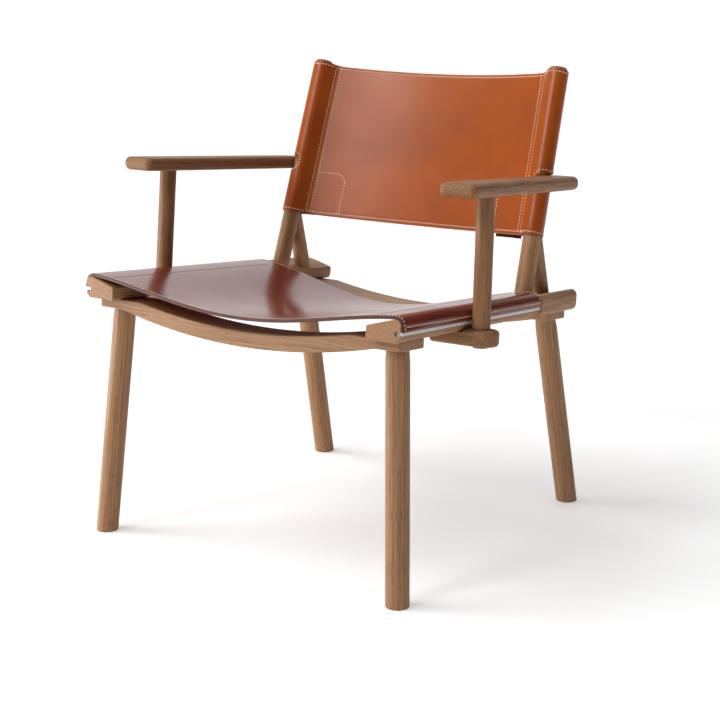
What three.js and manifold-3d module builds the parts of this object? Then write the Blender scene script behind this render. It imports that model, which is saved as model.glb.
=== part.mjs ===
// A lounge chair with an oak frame and two leather slings, in millimetres, +Z up, facing -Y.
// The frame is a pair of side rails on two bowed cross rails with turned legs. Arm posts stand on short
// outriggers under the rails, back posts lean over braced struts. The seat leather wraps the rails and is
// held by a strip in a keyhole groove; the back leather has a sleeve round each back post.
import * as THREE from "three";
import { mergeVertices } from "three/addons/utils/BufferGeometryUtils.js";
import Module from "manifold-3d";

const wasm = await Module();
wasm.setup();

const { degToRad } = THREE.MathUtils;

// Stance. Seat coordinates: x to the right, y back along the rails from their front ends, z square to them.
const SEAT_HEIGHT = 373; // underside of the side rails above the floor, at their front ends
const SEAT_TILT = degToRad(4.6); // the rails fall towards the back
const RAIL_TOE = degToRad(1.5); // the rails close in towards the back
const FIT = 0.3; // gap between pieces that touch

// Side rails: nosed where the leather wraps them, a fuller block behind it.
const RAIL_FRONT_SPACING = 515; // between the rails' centre lines, on the front measuring line
const RAIL_LEAD = 1; // rail's front end ahead of the line that its other places are measured from
const RAIL_TAIL = 45; // behind the middle of the rear legs
const RAIL_WIDTH = 55;
const RAIL_INNER_HEIGHT = 19.5;
const RAIL_OUTER_HEIGHT = 35; // to the nose's corner before it is rounded
const RAIL_NOSE_RADIUS = 9.5;
const RAIL_EDGE_RADIUS = 3;
const RAIL_END_RADIUS = 18; // outer rear corner in plan
const BLOCK_RADIUS = 10;

// Keyhole groove with its strip and rod, which hold the hem of the seat leather.
const GROOVE_HEIGHT = 13;
const GROOVE_DEPTH = 5.5; // from the nosed part's outer face to the middle of the round hole
const GROOVE_RADIUS = 4;
const SLOT_HEIGHT = 5.4;
const STRIP_LIP = 1.8; // how far the strip stands out of the slot
const STRIP_SETBACK = 2; // behind the front measuring line
const ROD_RADIUS = 2;

// Seat leather.
const SEAT_LEATHER = 3.2;
const SEAT_FRONT = 2; // leather's front edge behind the front measuring line
const SEAT_DEPTH = 397.5;
const SEAT_SAG = 32; // from the top of the leather on the rails to its middle, at the front edge
const SEAT_REAR_SAG = 14.7; // further sag at the rear edge
const SEAT_SLACK = 1.2; // how much wider than the rail's nose the leather bends over it
const SEAT_LIFT = degToRad(3.5); // slope of the leather where it meets that bend
const HEM_STANDOFF = 2; // how far the hem stands off the rail at the leather's front edge

// Cross rails, bowed down between flat end pads.
const CROSS_DEPTH = 60;
const PAD_THICKNESS = 14.5;
const BOW_THICKNESS = 23;
const BOW_RADIUS = 1000; // of the underside
const BOW_DROP = 27; // underside of the bow below the pads
const CROSS_OVERHANG = { front: 17, rear: 12.5 }; // ends outside the side rails' centre lines
const CROSS_EDGE_RADIUS = 2.5;

// Legs, along the rail and across it, from the rail's centre line.
const LEG_RADIUS = 17;
const LEG_NECK_RADIUS = 15.8;
const LEG_NECK_LENGTH = 18;
const LEG_TENON_RADIUS = 11;
const LEG_INSET = 6;
const FRONT_LEG_PLACE = 48.5;
const FRONT_LEG_RAKE = degToRad(-0.9); // lean towards the front, going up
const FRONT_LEG_SPLAY = degToRad(3.8); // lean inwards, going up
const REAR_LEG_PLACE = 489;
const REAR_LEG_RAKE = degToRad(17.2);
const REAR_LEG_SPLAY = degToRad(2.5);

// Back posts and the struts that brace them.
const SIDE_LEAN = degToRad(1.4); // back posts and arm posts lean inwards
const POST_RADIUS = 14;
const POST_LENGTH = 363;
const POST_PLACE = 414;
const POST_INSET = 10;
const POST_LEAN = degToRad(14.3);
const POST_TENON_RADIUS = 10;
const POST_TENON_LENGTH = 15;
const STRUT_RADIUS = 13;
const STRUT_PLACE = 476;
const STRUT_MEETS = 104; // along the back post from its foot
const STRUT_TENON_RADIUS = 9;
const STRUT_TENON_LENGTH = 14;

// Armrests on their posts, and the outriggers that carry the arm posts.
const ARM_POST_RADIUS = 13;
const ARM_POST_PLACE = 185;
const ARM_POST_GAP = 0.5; // between the arm post and the leather beside it
const ARM_TENON_RADIUS = 10;
const ARM_TENON_LENGTH = 11;
const ARM_HEIGHT = 199.7; // middle of the armrest at its post, above the underside of the rails
const ARM_RISE = 2; // middle of the armrest at the back post, above that at its own post
const ARM_FRONT_WIDTH = 60;
const ARM_REAR_WIDTH = 47;
const ARM_INSET = 35.4; // arm post's axis from the armrest's inner side
const ARM_THICKNESS = 20.6;
const ARM_OVERHANG = 77; // in front of the arm post's axis
const ARM_TAIL = 22.3; // behind the back post's axis
const ARM_CORNER_RADIUS = 11;
const ARM_TAIL_RADIUS = 15.5;
const ARM_EDGE_RADIUS = 8.9;
const ARM_SEAT = 3.2; // depth of the hollow that seats the armrest on the back post
const OUTRIGGER_WIDTH = 46;
const OUTRIGGER_THICKNESS = 19; // under the rail
const OUTRIGGER_SHELF = 4.2; // its top outside the rail, above the rail's underside
const OUTRIGGER_REACH = 26.5; // beyond the arm post's axis
const OUTRIGGER_EDGE_RADIUS = 6;
const OUTRIGGER_TENON_RADIUS = 11;
const TENON_STANDOUT = 3; // arm post's tenon below the outrigger

// Back leather.
const BACK_LEATHER = 2.7;
const BACK_FOOT = 97; // lower edge of the sleeves above the rail, along the post
const BACK_HEIGHT = 261;
const BACK_BOW = 28; // panel's middle behind its seams
const BACK_SETBACK = 9; // seams behind the plane of the posts' axes
const BACK_TOP_STEP = 2; // panel's upper edge below the sleeves' upper ends
const BACK_FOOT_RISE = 3; // panel's lower edge in the middle above the sleeves' lower ends
const SEAM_OFFSET = 25.5; // first seam from the post's axis
const HEM_OFFSET = 38; // edge of the sleeve's rear layer from the post's axis
const ARM_CUTOUT_RADIUS = 16;
const PATCH_WIDTH = 49;
const PATCH_HEIGHT = 78;
const PATCH_SHOWS = 3; // below the panel's lower edge
const PATCH_RADIUS = 12;

// Hidden fasteners.
const SCREW_HEAD_RADIUS = 4.5;
const SCREW_SHANK_RADIUS = 2.2;
const SCREW_HEAD_HEIGHT = 3;
const SCREW_BITE = 12; // length in the rail
const CROSS_SCREW_OFFSET = 24; // in front of and behind the leg
const OUTRIGGER_SCREW_OFFSET = 12; // to each side of the rail's centre line
const DOWEL_RADIUS = 5;
const ARM_DOWEL_LENGTH = 40;
const BRACE_DOWEL_RADIUS = 4;
const BRACE_DOWEL_LENGTH = 34;

const ROUND_SIDES = 28;
const SMALL_SIDES = 12;
const ARC_STEPS = 6;
const PANEL_STEPS = 20;
const SIDES = { left: -1, right: 1 };

const OAK = { color: 0xc09a6e, roughness: 0.55, metalness: 0 };
const OXBLOOD_LEATHER = { color: 0x6a2f24, roughness: 0.32, metalness: 0 };
const COGNAC_LEATHER = { color: 0xa8552f, roughness: 0.42, metalness: 0 };
const GREY_STRIP = { color: 0xc8c8c4, roughness: 0.5, metalness: 0 };
const STEEL = { color: 0xb8babd, roughness: 0.35, metalness: 1 };

const chair = new THREE.Group();
const seatFrame = new THREE.Group();
seatFrame.position.z = SEAT_HEIGHT;
seatFrame.rotation.x = -SEAT_TILT;
seatFrame.updateMatrix();
chair.add(seatFrame);

/** Closed solid of a geometry, without its zero-area triangles. */
function solid(geometry) {
  const bare = geometry.clone();
  bare.deleteAttribute("normal");
  bare.deleteAttribute("uv");
  const merged = mergeVertices(bare, 1e-4);
  const corners = merged.index.array;
  const kept = [];
  for (let i = 0; i < corners.length; i += 3) {
    const [a, b, c] = [corners[i], corners[i + 1], corners[i + 2]];
    if (a !== b && b !== c && c !== a) {
      kept.push(a, b, c);
    }
  }
  return new wasm.Manifold(new wasm.Mesh({
    numProp: 3,
    vertProperties: new Float32Array(merged.attributes.position.array),
    triVerts: new Uint32Array(kept),
  }));
}

/** Geometry of a solid. */
function surface(body) {
  const mesh = body.getMesh();
  const geometry = new THREE.BufferGeometry();
  geometry.setAttribute("position", new THREE.BufferAttribute(mesh.vertProperties, 3));
  geometry.setIndex(new THREE.BufferAttribute(mesh.triVerts, 1));
  return geometry;
}

/** Add a named piece to the chair, in seat coordinates. */
function addPiece(name, body, look) {
  const geometry = surface(body);
  geometry.computeVertexNormals();
  const piece = new THREE.Mesh(geometry, new THREE.MeshStandardMaterial(look));
  piece.name = name;
  seatFrame.add(piece);
}

/** Placement of a side rail: its own x runs outwards on the right, its y along the rail. */
function railMatrix(side) {
  const turn = new THREE.Matrix4().makeRotationZ(side * RAIL_TOE);
  return turn.setPosition(side * RAIL_FRONT_SPACING / 2, 0, 0);
}

/** Point in seat coordinates from its place on a rail: outwards, along and up. */
function onRail(side, out, along, up) {
  return new THREE.Vector3(side * out, along, up).applyMatrix4(railMatrix(side));
}

/** Axis that stands on a rail and leans inwards and back by two angles. */
function railAxis(side, origin, leanIn, leanBack) {
  const direction = new THREE.Vector3(-side * Math.tan(leanIn), Math.tan(leanBack), 1).normalize();
  direction.transformDirection(railMatrix(side));
  return new THREE.Ray(origin, direction);
}

/** Point on an axis at a height above the underside of the rails. */
function atHeight(axis, height) {
  return axis.at((height - axis.origin.z) / axis.direction.z, new THREE.Vector3());
}

/** Turned piece: a profile of [radius, distance] pairs spun round an axis. */
function turned(axis, profile, sides = ROUND_SIDES) {
  const points = profile.map(([radius, distance]) => new THREE.Vector2(radius, distance));
  const geometry = new THREE.LatheGeometry(points, sides);
  const lathe = new THREE.Vector3(0, 1, 0);
  geometry.applyQuaternion(new THREE.Quaternion().setFromUnitVectors(lathe, axis.direction));
  geometry.translate(axis.origin.x, axis.origin.y, axis.origin.z);
  return solid(geometry);
}

/** Plain cylinder on an axis between two distances along it. */
function rod(axis, radius, from, to, sides = ROUND_SIDES) {
  return turned(axis, [[0, from], [radius, from], [radius, to], [0, to]], sides);
}

/** Outline through corners [x, y, radius], each rounded by its radius. */
function roundedShape(corners) {
  const shape = new THREE.Shape();
  corners.forEach(([x, y, radius], i) => {
    const corner = new THREE.Vector2(x, y);
    const [px, py] = corners[(i + corners.length - 1) % corners.length];
    const [nx, ny] = corners[(i + 1) % corners.length];
    const back = new THREE.Vector2(px, py).sub(corner).normalize();
    const ahead = new THREE.Vector2(nx, ny).sub(corner).normalize();
    const half = Math.acos(back.dot(ahead)) / 2;
    const reach = radius / Math.tan(half);
    const middle = back.clone().add(ahead).setLength(radius / Math.sin(half)).add(corner);
    const from = back.multiplyScalar(reach).add(corner).sub(middle).angle();
    const to = ahead.multiplyScalar(reach).add(corner).sub(middle).angle();
    const turn = Math.atan2(Math.sin(to - from), Math.cos(to - from));
    shape.absarc(middle.x, middle.y, radius, from, from + turn, turn < 0);
  });
  return shape;
}

/** Outline through plain points. */
function pointShape(points) {
  return new THREE.Shape(points.map(([x, y]) => new THREE.Vector2(x, y)));
}

/** Extrusion of an outline drawn across and up, running back from one distance to another. */
function runBack(shape, from, to, options = {}) {
  const settings = { depth: to - from, bevelEnabled: false, curveSegments: ARC_STEPS, ...options };
  const geometry = new THREE.ExtrudeGeometry(shape, settings);
  geometry.rotateX(Math.PI / 2);
  geometry.translate(0, to, 0);
  return geometry;
}

/** Flat plate with rounded edges, from an outline in plan, between two heights. */
function roundedPlate(shape, bottom, top, edge) {
  const geometry = new THREE.ExtrudeGeometry(shape, {
    depth: top - bottom - 2 * edge,
    bevelEnabled: true,
    bevelThickness: edge,
    bevelSize: edge,
    bevelOffset: -edge,
    bevelSegments: 3,
    curveSegments: ARC_STEPS,
  });
  geometry.translate(0, 0, bottom + edge);
  return geometry;
}

/** Large block that fills everything under a plane through a point with an upward normal. */
function below(point, normal) {
  const size = 2000;
  const geometry = new THREE.BoxGeometry(size, size, size);
  geometry.translate(0, 0, -size / 2);
  geometry.applyQuaternion(new THREE.Quaternion().setFromUnitVectors(new THREE.Vector3(0, 0, 1), normal));
  geometry.translate(point.x, point.y, point.z);
  return solid(geometry);
}

// Shared faces and axes.
const halfRail = RAIL_WIDTH / 2;
const railLength = REAR_LEG_PLACE + RAIL_TAIL;
const railSlope = Math.atan2(RAIL_OUTER_HEIGHT - RAIL_INNER_HEIGHT, RAIL_WIDTH);
const blockFace = halfRail + FIT + SEAT_LEATHER; // flush with the leather in front of it
const seatRear = SEAT_FRONT + SEAT_DEPTH;
const shoulder = seatRear + FIT;
const hem = GROOVE_HEIGHT + SLOT_HEIGHT / 2; // lower edge of the seat leather, on the strip
const legShoulder = -PAD_THICKNESS - FIT;
const UP = new THREE.Vector3(0, 0, 1);

/** Height of a rail's sloping top above its underside, at a distance outwards. */
function railTop(out) {
  return RAIL_INNER_HEIGHT + (out + halfRail) * Math.tan(railSlope);
}

/** Upward normal of a rail's sloping top. */
function railNormal(side) {
  const normal = new THREE.Vector3(-side * Math.sin(railSlope), 0, Math.cos(railSlope));
  return normal.transformDirection(railMatrix(side));
}

/** Axes and points that the pieces of one side share. */
function sideAxes(side) {
  const footTop = railTop(-POST_INSET);
  const post = railAxis(side, onRail(side, -POST_INSET, POST_PLACE, footTop), SIDE_LEAN, POST_LEAN);
  const meeting = post.at(STRUT_MEETS, new THREE.Vector3());
  const strutFoot = onRail(side, -POST_INSET, STRUT_PLACE, footTop);
  const strut = new THREE.Ray(strutFoot, meeting.clone().sub(strutFoot).normalize());
  const noseLean = RAIL_OUTER_HEIGHT * Math.tan(SIDE_LEAN);
  const armOut = blockFace + ARM_POST_GAP + ARM_POST_RADIUS + noseLean;
  const armPost = railAxis(side, onRail(side, armOut, ARM_POST_PLACE, 0), SIDE_LEAN, 0);
  const armStart = atHeight(armPost, ARM_HEIGHT);
  const postAtArm = atHeight(post, ARM_HEIGHT + ARM_RISE);
  const reach = postAtArm.clone().sub(armStart);
  const beside = ARM_INSET + POST_RADIUS - ARM_SEAT;
  const span = Math.hypot(reach.x, reach.y);
  const armTurn = Math.atan2(-side * reach.x, reach.y) - Math.asin(beside / span);
  const armReach = Math.sqrt(span ** 2 - beside ** 2);
  const outward = new THREE.Vector3(side * Math.cos(armTurn), Math.sin(armTurn), 0);
  const frontLegTop = onRail(side, -LEG_INSET, FRONT_LEG_PLACE, legShoulder);
  const rearLegTop = onRail(side, -LEG_INSET, REAR_LEG_PLACE, legShoulder);
  const legs = {
    front: railAxis(side, frontLegTop, FRONT_LEG_SPLAY, -FRONT_LEG_RAKE),
    rear: railAxis(side, rearLegTop, REAR_LEG_SPLAY, -REAR_LEG_RAKE),
  };
  return { post, strut, armPost, armOut, armStart, armReach, postAtArm, armTurn, outward, legs };
}

const axes = { left: sideAxes(SIDES.left), right: sideAxes(SIDES.right) };

// The back leather lies in the plane of the two posts, from the middle between its sleeves' lower ends.
const backFoot = axes.right.post.at(BACK_FOOT, new THREE.Vector3()).setX(0);
const postRise = axes.right.post.direction;
const backUp = postRise.clone().setX(0).normalize();
const backward = new THREE.Vector3(0, backUp.z, -backUp.y);
const closing = -postRise.x / Math.hypot(postRise.y, postRise.z);
const postSpan = axes.right.post.at(BACK_FOOT, new THREE.Vector3()).x;
const panelEdge = postSpan - SEAM_OFFSET;

/** Section of a rail out to a face, drawn outwards and up. */
function railSection(side, face, radius) {
  return roundedShape([
    [-side * halfRail, 0, RAIL_EDGE_RADIUS],
    [side * face, 0, radius],
    [side * face, railTop(face), radius],
    [-side * halfRail, RAIL_INNER_HEIGHT, RAIL_EDGE_RADIUS],
  ]);
}

/** Keyhole section: a round hole with a slot out to the rail's face and past it, grown by a clearance. */
function keyhole(side, grow, face) {
  const radius = GROOVE_RADIUS + grow;
  const half = SLOT_HEIGHT / 2 + grow;
  const middle = halfRail - GROOVE_DEPTH;
  const mouth = Math.asin(half / radius);
  const points = [[side * face, GROOVE_HEIGHT - half], [side * face, GROOVE_HEIGHT + half]];
  const steps = 2 * ARC_STEPS;
  for (let i = 0; i <= steps; i += 1) {
    const angle = mouth + (2 * Math.PI - 2 * mouth) * i / steps;
    points.push([side * (middle + radius * Math.cos(angle)), GROOVE_HEIGHT + radius * Math.sin(angle)]);
  }
  return pointShape(points);
}

/** Axis of a screw driven up into a rail, from the face that its head is flush with. */
function screwAxis(side, out, along, face) {
  return railAxis(side, onRail(side, out, along, face), 0, 0);
}

/** Countersunk wood screw, or the hole for it, from its head to its point. */
function screw(axis, length, grow) {
  const head = SCREW_HEAD_RADIUS + grow;
  const shank = SCREW_SHANK_RADIUS + grow;
  const tip = length - 2 * SCREW_SHANK_RADIUS;
  const start = -grow;
  return turned(axis, [
    [0, start], [head, start], [shank, SCREW_HEAD_HEIGHT], [shank, tip], [0, length + grow],
  ], SMALL_SIDES);
}

const crossScrewLength = PAD_THICKNESS + FIT + SCREW_BITE;
const outriggerScrewLength = OUTRIGGER_THICKNESS + FIT + SCREW_BITE;

/** Axes of the screws that hold one side rail, by name, with their lengths. */
function railScrews(side) {
  const screws = [];
  for (const [end, place] of [["front", FRONT_LEG_PLACE], ["rear", REAR_LEG_PLACE]]) {
    for (const [which, offset] of [["a", -CROSS_SCREW_OFFSET], ["b", CROSS_SCREW_OFFSET]]) {
      const axis = screwAxis(side, -LEG_INSET, place + offset, -FIT - PAD_THICKNESS);
      screws.push({ name: `${end}_cross_rail_screw_${which}`, axis, length: crossScrewLength });
    }
  }
  for (const [which, offset] of [["a", -OUTRIGGER_SCREW_OFFSET], ["b", OUTRIGGER_SCREW_OFFSET]]) {
    const axis = screwAxis(side, offset, ARM_POST_PLACE, -FIT - OUTRIGGER_THICKNESS);
    screws.push({ name: `outrigger_screw_${which}`, axis, length: outriggerScrewLength });
  }
  return screws;
}

/** Side rail with its groove, its mortises and its screw holes. */
function sideRail(name) {
  const side = SIDES[name];
  const { post, strut } = axes[name];
  const nosed = runBack(railSection(side, halfRail, RAIL_NOSE_RADIUS), -RAIL_LEAD, railLength);
  const block = runBack(railSection(side, blockFace, BLOCK_RADIUS), shoulder, railLength);
  const groove = runBack(keyhole(side, 0, blockFace + FIT), -RAIL_LEAD - FIT, shoulder);
  const plan = roundedShape([
    [-halfRail, -RAIL_LEAD, RAIL_EDGE_RADIUS / 2],
    [blockFace, -RAIL_LEAD, RAIL_EDGE_RADIUS / 2],
    [blockFace, railLength, RAIL_END_RADIUS],
    [-halfRail, railLength, RAIL_EDGE_RADIUS],
  ].map(([out, along, radius]) => [side * out, along, radius]));
  const settings = { depth: 2 * RAIL_WIDTH, bevelEnabled: false, curveSegments: ARC_STEPS };
  const trim = new THREE.ExtrudeGeometry(plan, settings);
  trim.translate(0, 0, -RAIL_WIDTH);
  const straight = surface(solid(nosed).add(solid(block)).intersect(solid(trim)).subtract(solid(groove)));
  let body = solid(straight.applyMatrix4(railMatrix(side)));
  body = body.subtract(rod(post, POST_TENON_RADIUS + FIT, -POST_TENON_LENGTH - FIT, POST_RADIUS));
  body = body.subtract(rod(strut, STRUT_TENON_RADIUS + FIT, -STRUT_TENON_LENGTH - FIT, STRUT_RADIUS));
  for (const { axis, length } of railScrews(side)) {
    body = body.subtract(screw(axis, length, FIT));
  }
  return body;
}

/** Strip that fills the groove, with a bead round its rod and a lip under the leather's hem. */
function grooveStrip(name) {
  const side = SIDES[name];
  const strip = runBack(keyhole(side, -FIT, halfRail + STRIP_LIP), STRIP_SETBACK, seatRear);
  strip.applyMatrix4(railMatrix(side));
  return solid(strip).subtract(rod(rodAxis(side), ROD_RADIUS + FIT, 0, railLength, SMALL_SIDES));
}

/** Axis of the rod in a rail's groove, from the rail's front end. */
function rodAxis(side) {
  const along = new THREE.Vector3(0, 1, 0).transformDirection(railMatrix(side));
  return new THREE.Ray(onRail(side, halfRail - GROOVE_DEPTH, 0, GROOVE_HEIGHT), along);
}

/** Outline of a cross rail across the chair, with its underside lowered by a clearance. */
function crossOutline(which, place, grow) {
  const end = onRail(SIDES.right, CROSS_OVERHANG[which], place, 0).x + grow;
  const padFoot = -FIT - PAD_THICKNESS - grow;
  const lowest = -FIT - PAD_THICKNESS - BOW_DROP - grow;
  const steps = 3 * ARC_STEPS;
  const underEdge = Math.sqrt(BOW_RADIUS ** 2 - (BOW_RADIUS - (padFoot - lowest)) ** 2);
  const topRadius = BOW_RADIUS - BOW_THICKNESS;
  const topLowest = lowest + grow + BOW_THICKNESS;
  const topEdge = Math.sqrt(topRadius ** 2 - (topRadius + topLowest + FIT) ** 2);
  const points = [[-end, -FIT], [-end, padFoot]];
  for (let i = 0; i <= steps; i += 1) {
    const x = underEdge * (2 * i / steps - 1);
    points.push([x, lowest + BOW_RADIUS - Math.sqrt(BOW_RADIUS ** 2 - x * x)]);
  }
  points.push([end, padFoot], [end, -FIT]);
  for (let i = 0; i <= steps; i += 1) {
    const x = topEdge * (1 - 2 * i / steps);
    points.push([x, topLowest + topRadius - Math.sqrt(topRadius ** 2 - x * x)]);
  }
  return pointShape(points);
}

/** Cross rail with rounded front and rear edges, the legs' mortises and the screws' holes. */
function crossRail(place, which) {
  const edge = CROSS_EDGE_RADIUS;
  const half = CROSS_DEPTH / 2 - edge;
  const geometry = runBack(crossOutline(which, place, 0), place - half, place + half, {
    bevelEnabled: true,
    bevelThickness: edge,
    bevelSize: edge,
    bevelOffset: -edge,
    bevelSegments: 2,
  });
  let body = solid(geometry);
  for (const name of Object.keys(SIDES)) {
    const leg = axes[name].legs[which];
    body = body.subtract(rod(leg, LEG_TENON_RADIUS + FIT, -PAD_THICKNESS, 2 * PAD_THICKNESS));
    for (const { axis, length } of railScrews(SIDES[name])) {
      body = body.subtract(screw(axis, length, FIT));
    }
  }
  return body;
}

/** Leg: turned, fitted to the underside of its cross rail, cut level with the floor. */
function leg(name, which, place) {
  const axis = axes[name].legs[which];
  const long = 1.3 * SEAT_HEIGHT;
  const spare = LEG_RADIUS;
  let body = turned(axis, [
    [0, -long], [LEG_RADIUS, -long], [LEG_RADIUS, -LEG_NECK_LENGTH], [LEG_NECK_RADIUS, 0],
    [LEG_NECK_RADIUS, spare], [0, spare],
  ]);
  const clear = runBack(crossOutline(which, place, FIT), place - CROSS_DEPTH, place + CROSS_DEPTH);
  body = body.subtract(solid(clear));
  body = body.subtract(below(new THREE.Vector3(0, 0, -FIT), UP.clone().negate()));
  body = body.decompose().sort((a, b) => b.volume() - a.volume())[0];
  body = body.add(rod(axis, LEG_TENON_RADIUS, -LEG_NECK_LENGTH, 2 * PAD_THICKNESS));
  body = body.subtract(below(new THREE.Vector3(0, 0, -2 * FIT), UP.clone().negate()));
  const toSeat = seatFrame.matrix.clone().invert();
  const floor = new THREE.Vector3(0, 0, 0).applyMatrix4(toSeat);
  return body.subtract(below(floor, UP.clone().transformDirection(toSeat)));
}

/** Dowel that stands on the top of a rail's block: its foot fitted to the slope, with a tenon below. */
function standing(name, axis, radius, length, tenonRadius, tenonLength, edge) {
  const side = SIDES[name];
  const foot = axis.origin.clone().addScaledVector(railNormal(side), FIT);
  let body = turned(axis, [
    [0, -2 * radius], [radius, -2 * radius], [radius, length - edge], [radius - edge, length], [0, length],
  ]);
  body = body.subtract(below(foot, railNormal(side)));
  return body.add(rod(axis, tenonRadius, -tenonLength, 2 * radius));
}

/** Axis of the dowel between an armrest and its back post, from the post's axis outwards. */
function armDowelAxis(name) {
  const { postAtArm, outward } = axes[name];
  return new THREE.Ray(postAtArm, outward);
}

const armDowelStart = -POST_RADIUS / 2;
const armDowelEnd = armDowelStart + ARM_DOWEL_LENGTH;

/** Distances along a strut of the ends of the dowel between it and its back post. */
function braceDowelSpan(name) {
  const { post, strut } = axes[name];
  const meeting = post.at(STRUT_MEETS, new THREE.Vector3()).distanceTo(strut.origin);
  return { start: meeting + POST_RADIUS / 3 - BRACE_DOWEL_LENGTH, end: meeting + POST_RADIUS / 3 };
}

/** Back post with holes for the armrest's dowel and the strut's dowel. */
function backPost(name) {
  const { post, strut } = axes[name];
  const { start, end } = braceDowelSpan(name);
  const edge = 2;
  let body = standing(name, post, POST_RADIUS, POST_LENGTH, POST_TENON_RADIUS, POST_TENON_LENGTH, edge);
  const armDowel = armDowelAxis(name);
  body = body.subtract(rod(armDowel, DOWEL_RADIUS + FIT, armDowelStart - FIT, armDowelEnd, SMALL_SIDES));
  return body.subtract(rod(strut, BRACE_DOWEL_RADIUS + FIT, start, end + FIT, SMALL_SIDES));
}

/** Strut whose top is scribed to the back post and ends under the sleeve. */
function rearStrut(name) {
  const { post, strut } = axes[name];
  const { start, end } = braceDowelSpan(name);
  const length = end + POST_RADIUS;
  let body = standing(name, strut, STRUT_RADIUS, length, STRUT_TENON_RADIUS, STRUT_TENON_LENGTH, FIT);
  body = body.subtract(rod(post, POST_RADIUS + FIT, -POST_LENGTH, POST_LENGTH));
  body = body.subtract(below(backFoot.clone().addScaledVector(backUp, -FIT), backUp.clone().negate()));
  body = body.decompose().sort((a, b) => b.volume() - a.volume())[0];
  return body.subtract(rod(strut, BRACE_DOWEL_RADIUS + FIT, start - FIT, end, SMALL_SIDES));
}

/** Arm post: a dowel with a tenon into the armrest and one right through the outrigger. */
function armPost(name) {
  const axis = axes[name].armPost;
  const top = (ARM_HEIGHT - ARM_THICKNESS / 2 - FIT) / axis.direction.z;
  const tenonTop = top + ARM_TENON_LENGTH;
  const foot = -(FIT + OUTRIGGER_THICKNESS + TENON_STANDOUT);
  const shelf = OUTRIGGER_SHELF + 2 * FIT;
  return turned(axis, [
    [0, foot], [OUTRIGGER_TENON_RADIUS, foot], [OUTRIGGER_TENON_RADIUS, shelf], [ARM_POST_RADIUS, shelf],
    [ARM_POST_RADIUS, top - FIT], [ARM_TENON_RADIUS, top - FIT], [ARM_TENON_RADIUS, tenonTop], [0, tenonTop],
  ]);
}

/** Short bar let in under a rail, which carries the arm post in its round end. */
function outrigger(name) {
  const side = SIDES[name];
  const { armPost: post, armOut } = axes[name];
  const half = OUTRIGGER_WIDTH / 2;
  const end = armOut + OUTRIGGER_REACH;
  const outline = roundedShape([
    [-side * halfRail, ARM_POST_PLACE - half, OUTRIGGER_EDGE_RADIUS * 1.1],
    [side * end, ARM_POST_PLACE - half, half - FIT],
    [side * end, ARM_POST_PLACE + half, half - FIT],
    [-side * halfRail, ARM_POST_PLACE + half, OUTRIGGER_EDGE_RADIUS * 1.1],
  ]);
  const plate = roundedPlate(outline, -FIT - OUTRIGGER_THICKNESS, OUTRIGGER_SHELF, OUTRIGGER_EDGE_RADIUS);
  const recess = runBack(roundedShape([
    [-side * RAIL_WIDTH, -FIT, FIT],
    [side * (halfRail + FIT), -FIT, FIT],
    [side * (halfRail + FIT), RAIL_WIDTH, FIT],
    [-side * RAIL_WIDTH, RAIL_WIDTH, FIT],
  ]), ARM_POST_PLACE - OUTRIGGER_WIDTH, ARM_POST_PLACE + OUTRIGGER_WIDTH);
  let body = solid(surface(solid(plate).subtract(solid(recess))).applyMatrix4(railMatrix(side)));
  body = body.subtract(rod(post, OUTRIGGER_TENON_RADIUS + FIT, -2 * OUTRIGGER_WIDTH, OUTRIGGER_WIDTH));
  for (const { axis, length } of railScrews(side)) {
    body = body.subtract(screw(axis, length, FIT));
  }
  return body;
}

/** Tapered armrest with round edges, mortised for its post and hollowed to seat on the back post. */
function armrest(name) {
  const side = SIDES[name];
  const { armStart, armReach, armTurn, armPost: post, post: back } = axes[name];
  const armRear = armReach + ARM_TAIL;
  const outline = roundedShape([
    [-side * ARM_INSET, -ARM_OVERHANG, ARM_CORNER_RADIUS],
    [side * (ARM_FRONT_WIDTH - ARM_INSET), -ARM_OVERHANG, ARM_CORNER_RADIUS],
    [side * (ARM_REAR_WIDTH - ARM_INSET), armRear, ARM_TAIL_RADIUS],
    [-side * ARM_INSET, armRear, ARM_TAIL_RADIUS],
  ]);
  const plate = roundedPlate(outline, -ARM_THICKNESS / 2, ARM_THICKNESS / 2, ARM_EDGE_RADIUS);
  plate.rotateX(Math.atan2(ARM_RISE, armReach));
  plate.rotateZ(side * armTurn);
  plate.translate(armStart.x, armStart.y, armStart.z);
  let body = solid(plate);
  const tenonTop = (ARM_HEIGHT - ARM_THICKNESS / 2) / post.direction.z + ARM_TENON_LENGTH;
  body = body.subtract(rod(post, ARM_TENON_RADIUS + FIT, 0, tenonTop));
  body = body.subtract(rod(back, POST_RADIUS + FIT, 0, POST_LENGTH));
  return body.subtract(rod(armDowelAxis(name), DOWEL_RADIUS + FIT, 0, armDowelEnd + FIT, SMALL_SIDES));
}

/** Middle of the arc of the rail's nose, outwards and up. */
function noseMiddle() {
  const half = (Math.PI / 2 - railSlope) / 2;
  return { out: halfRail - RAIL_NOSE_RADIUS, up: RAIL_OUTER_HEIGHT - RAIL_NOSE_RADIUS / Math.tan(half) };
}

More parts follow.
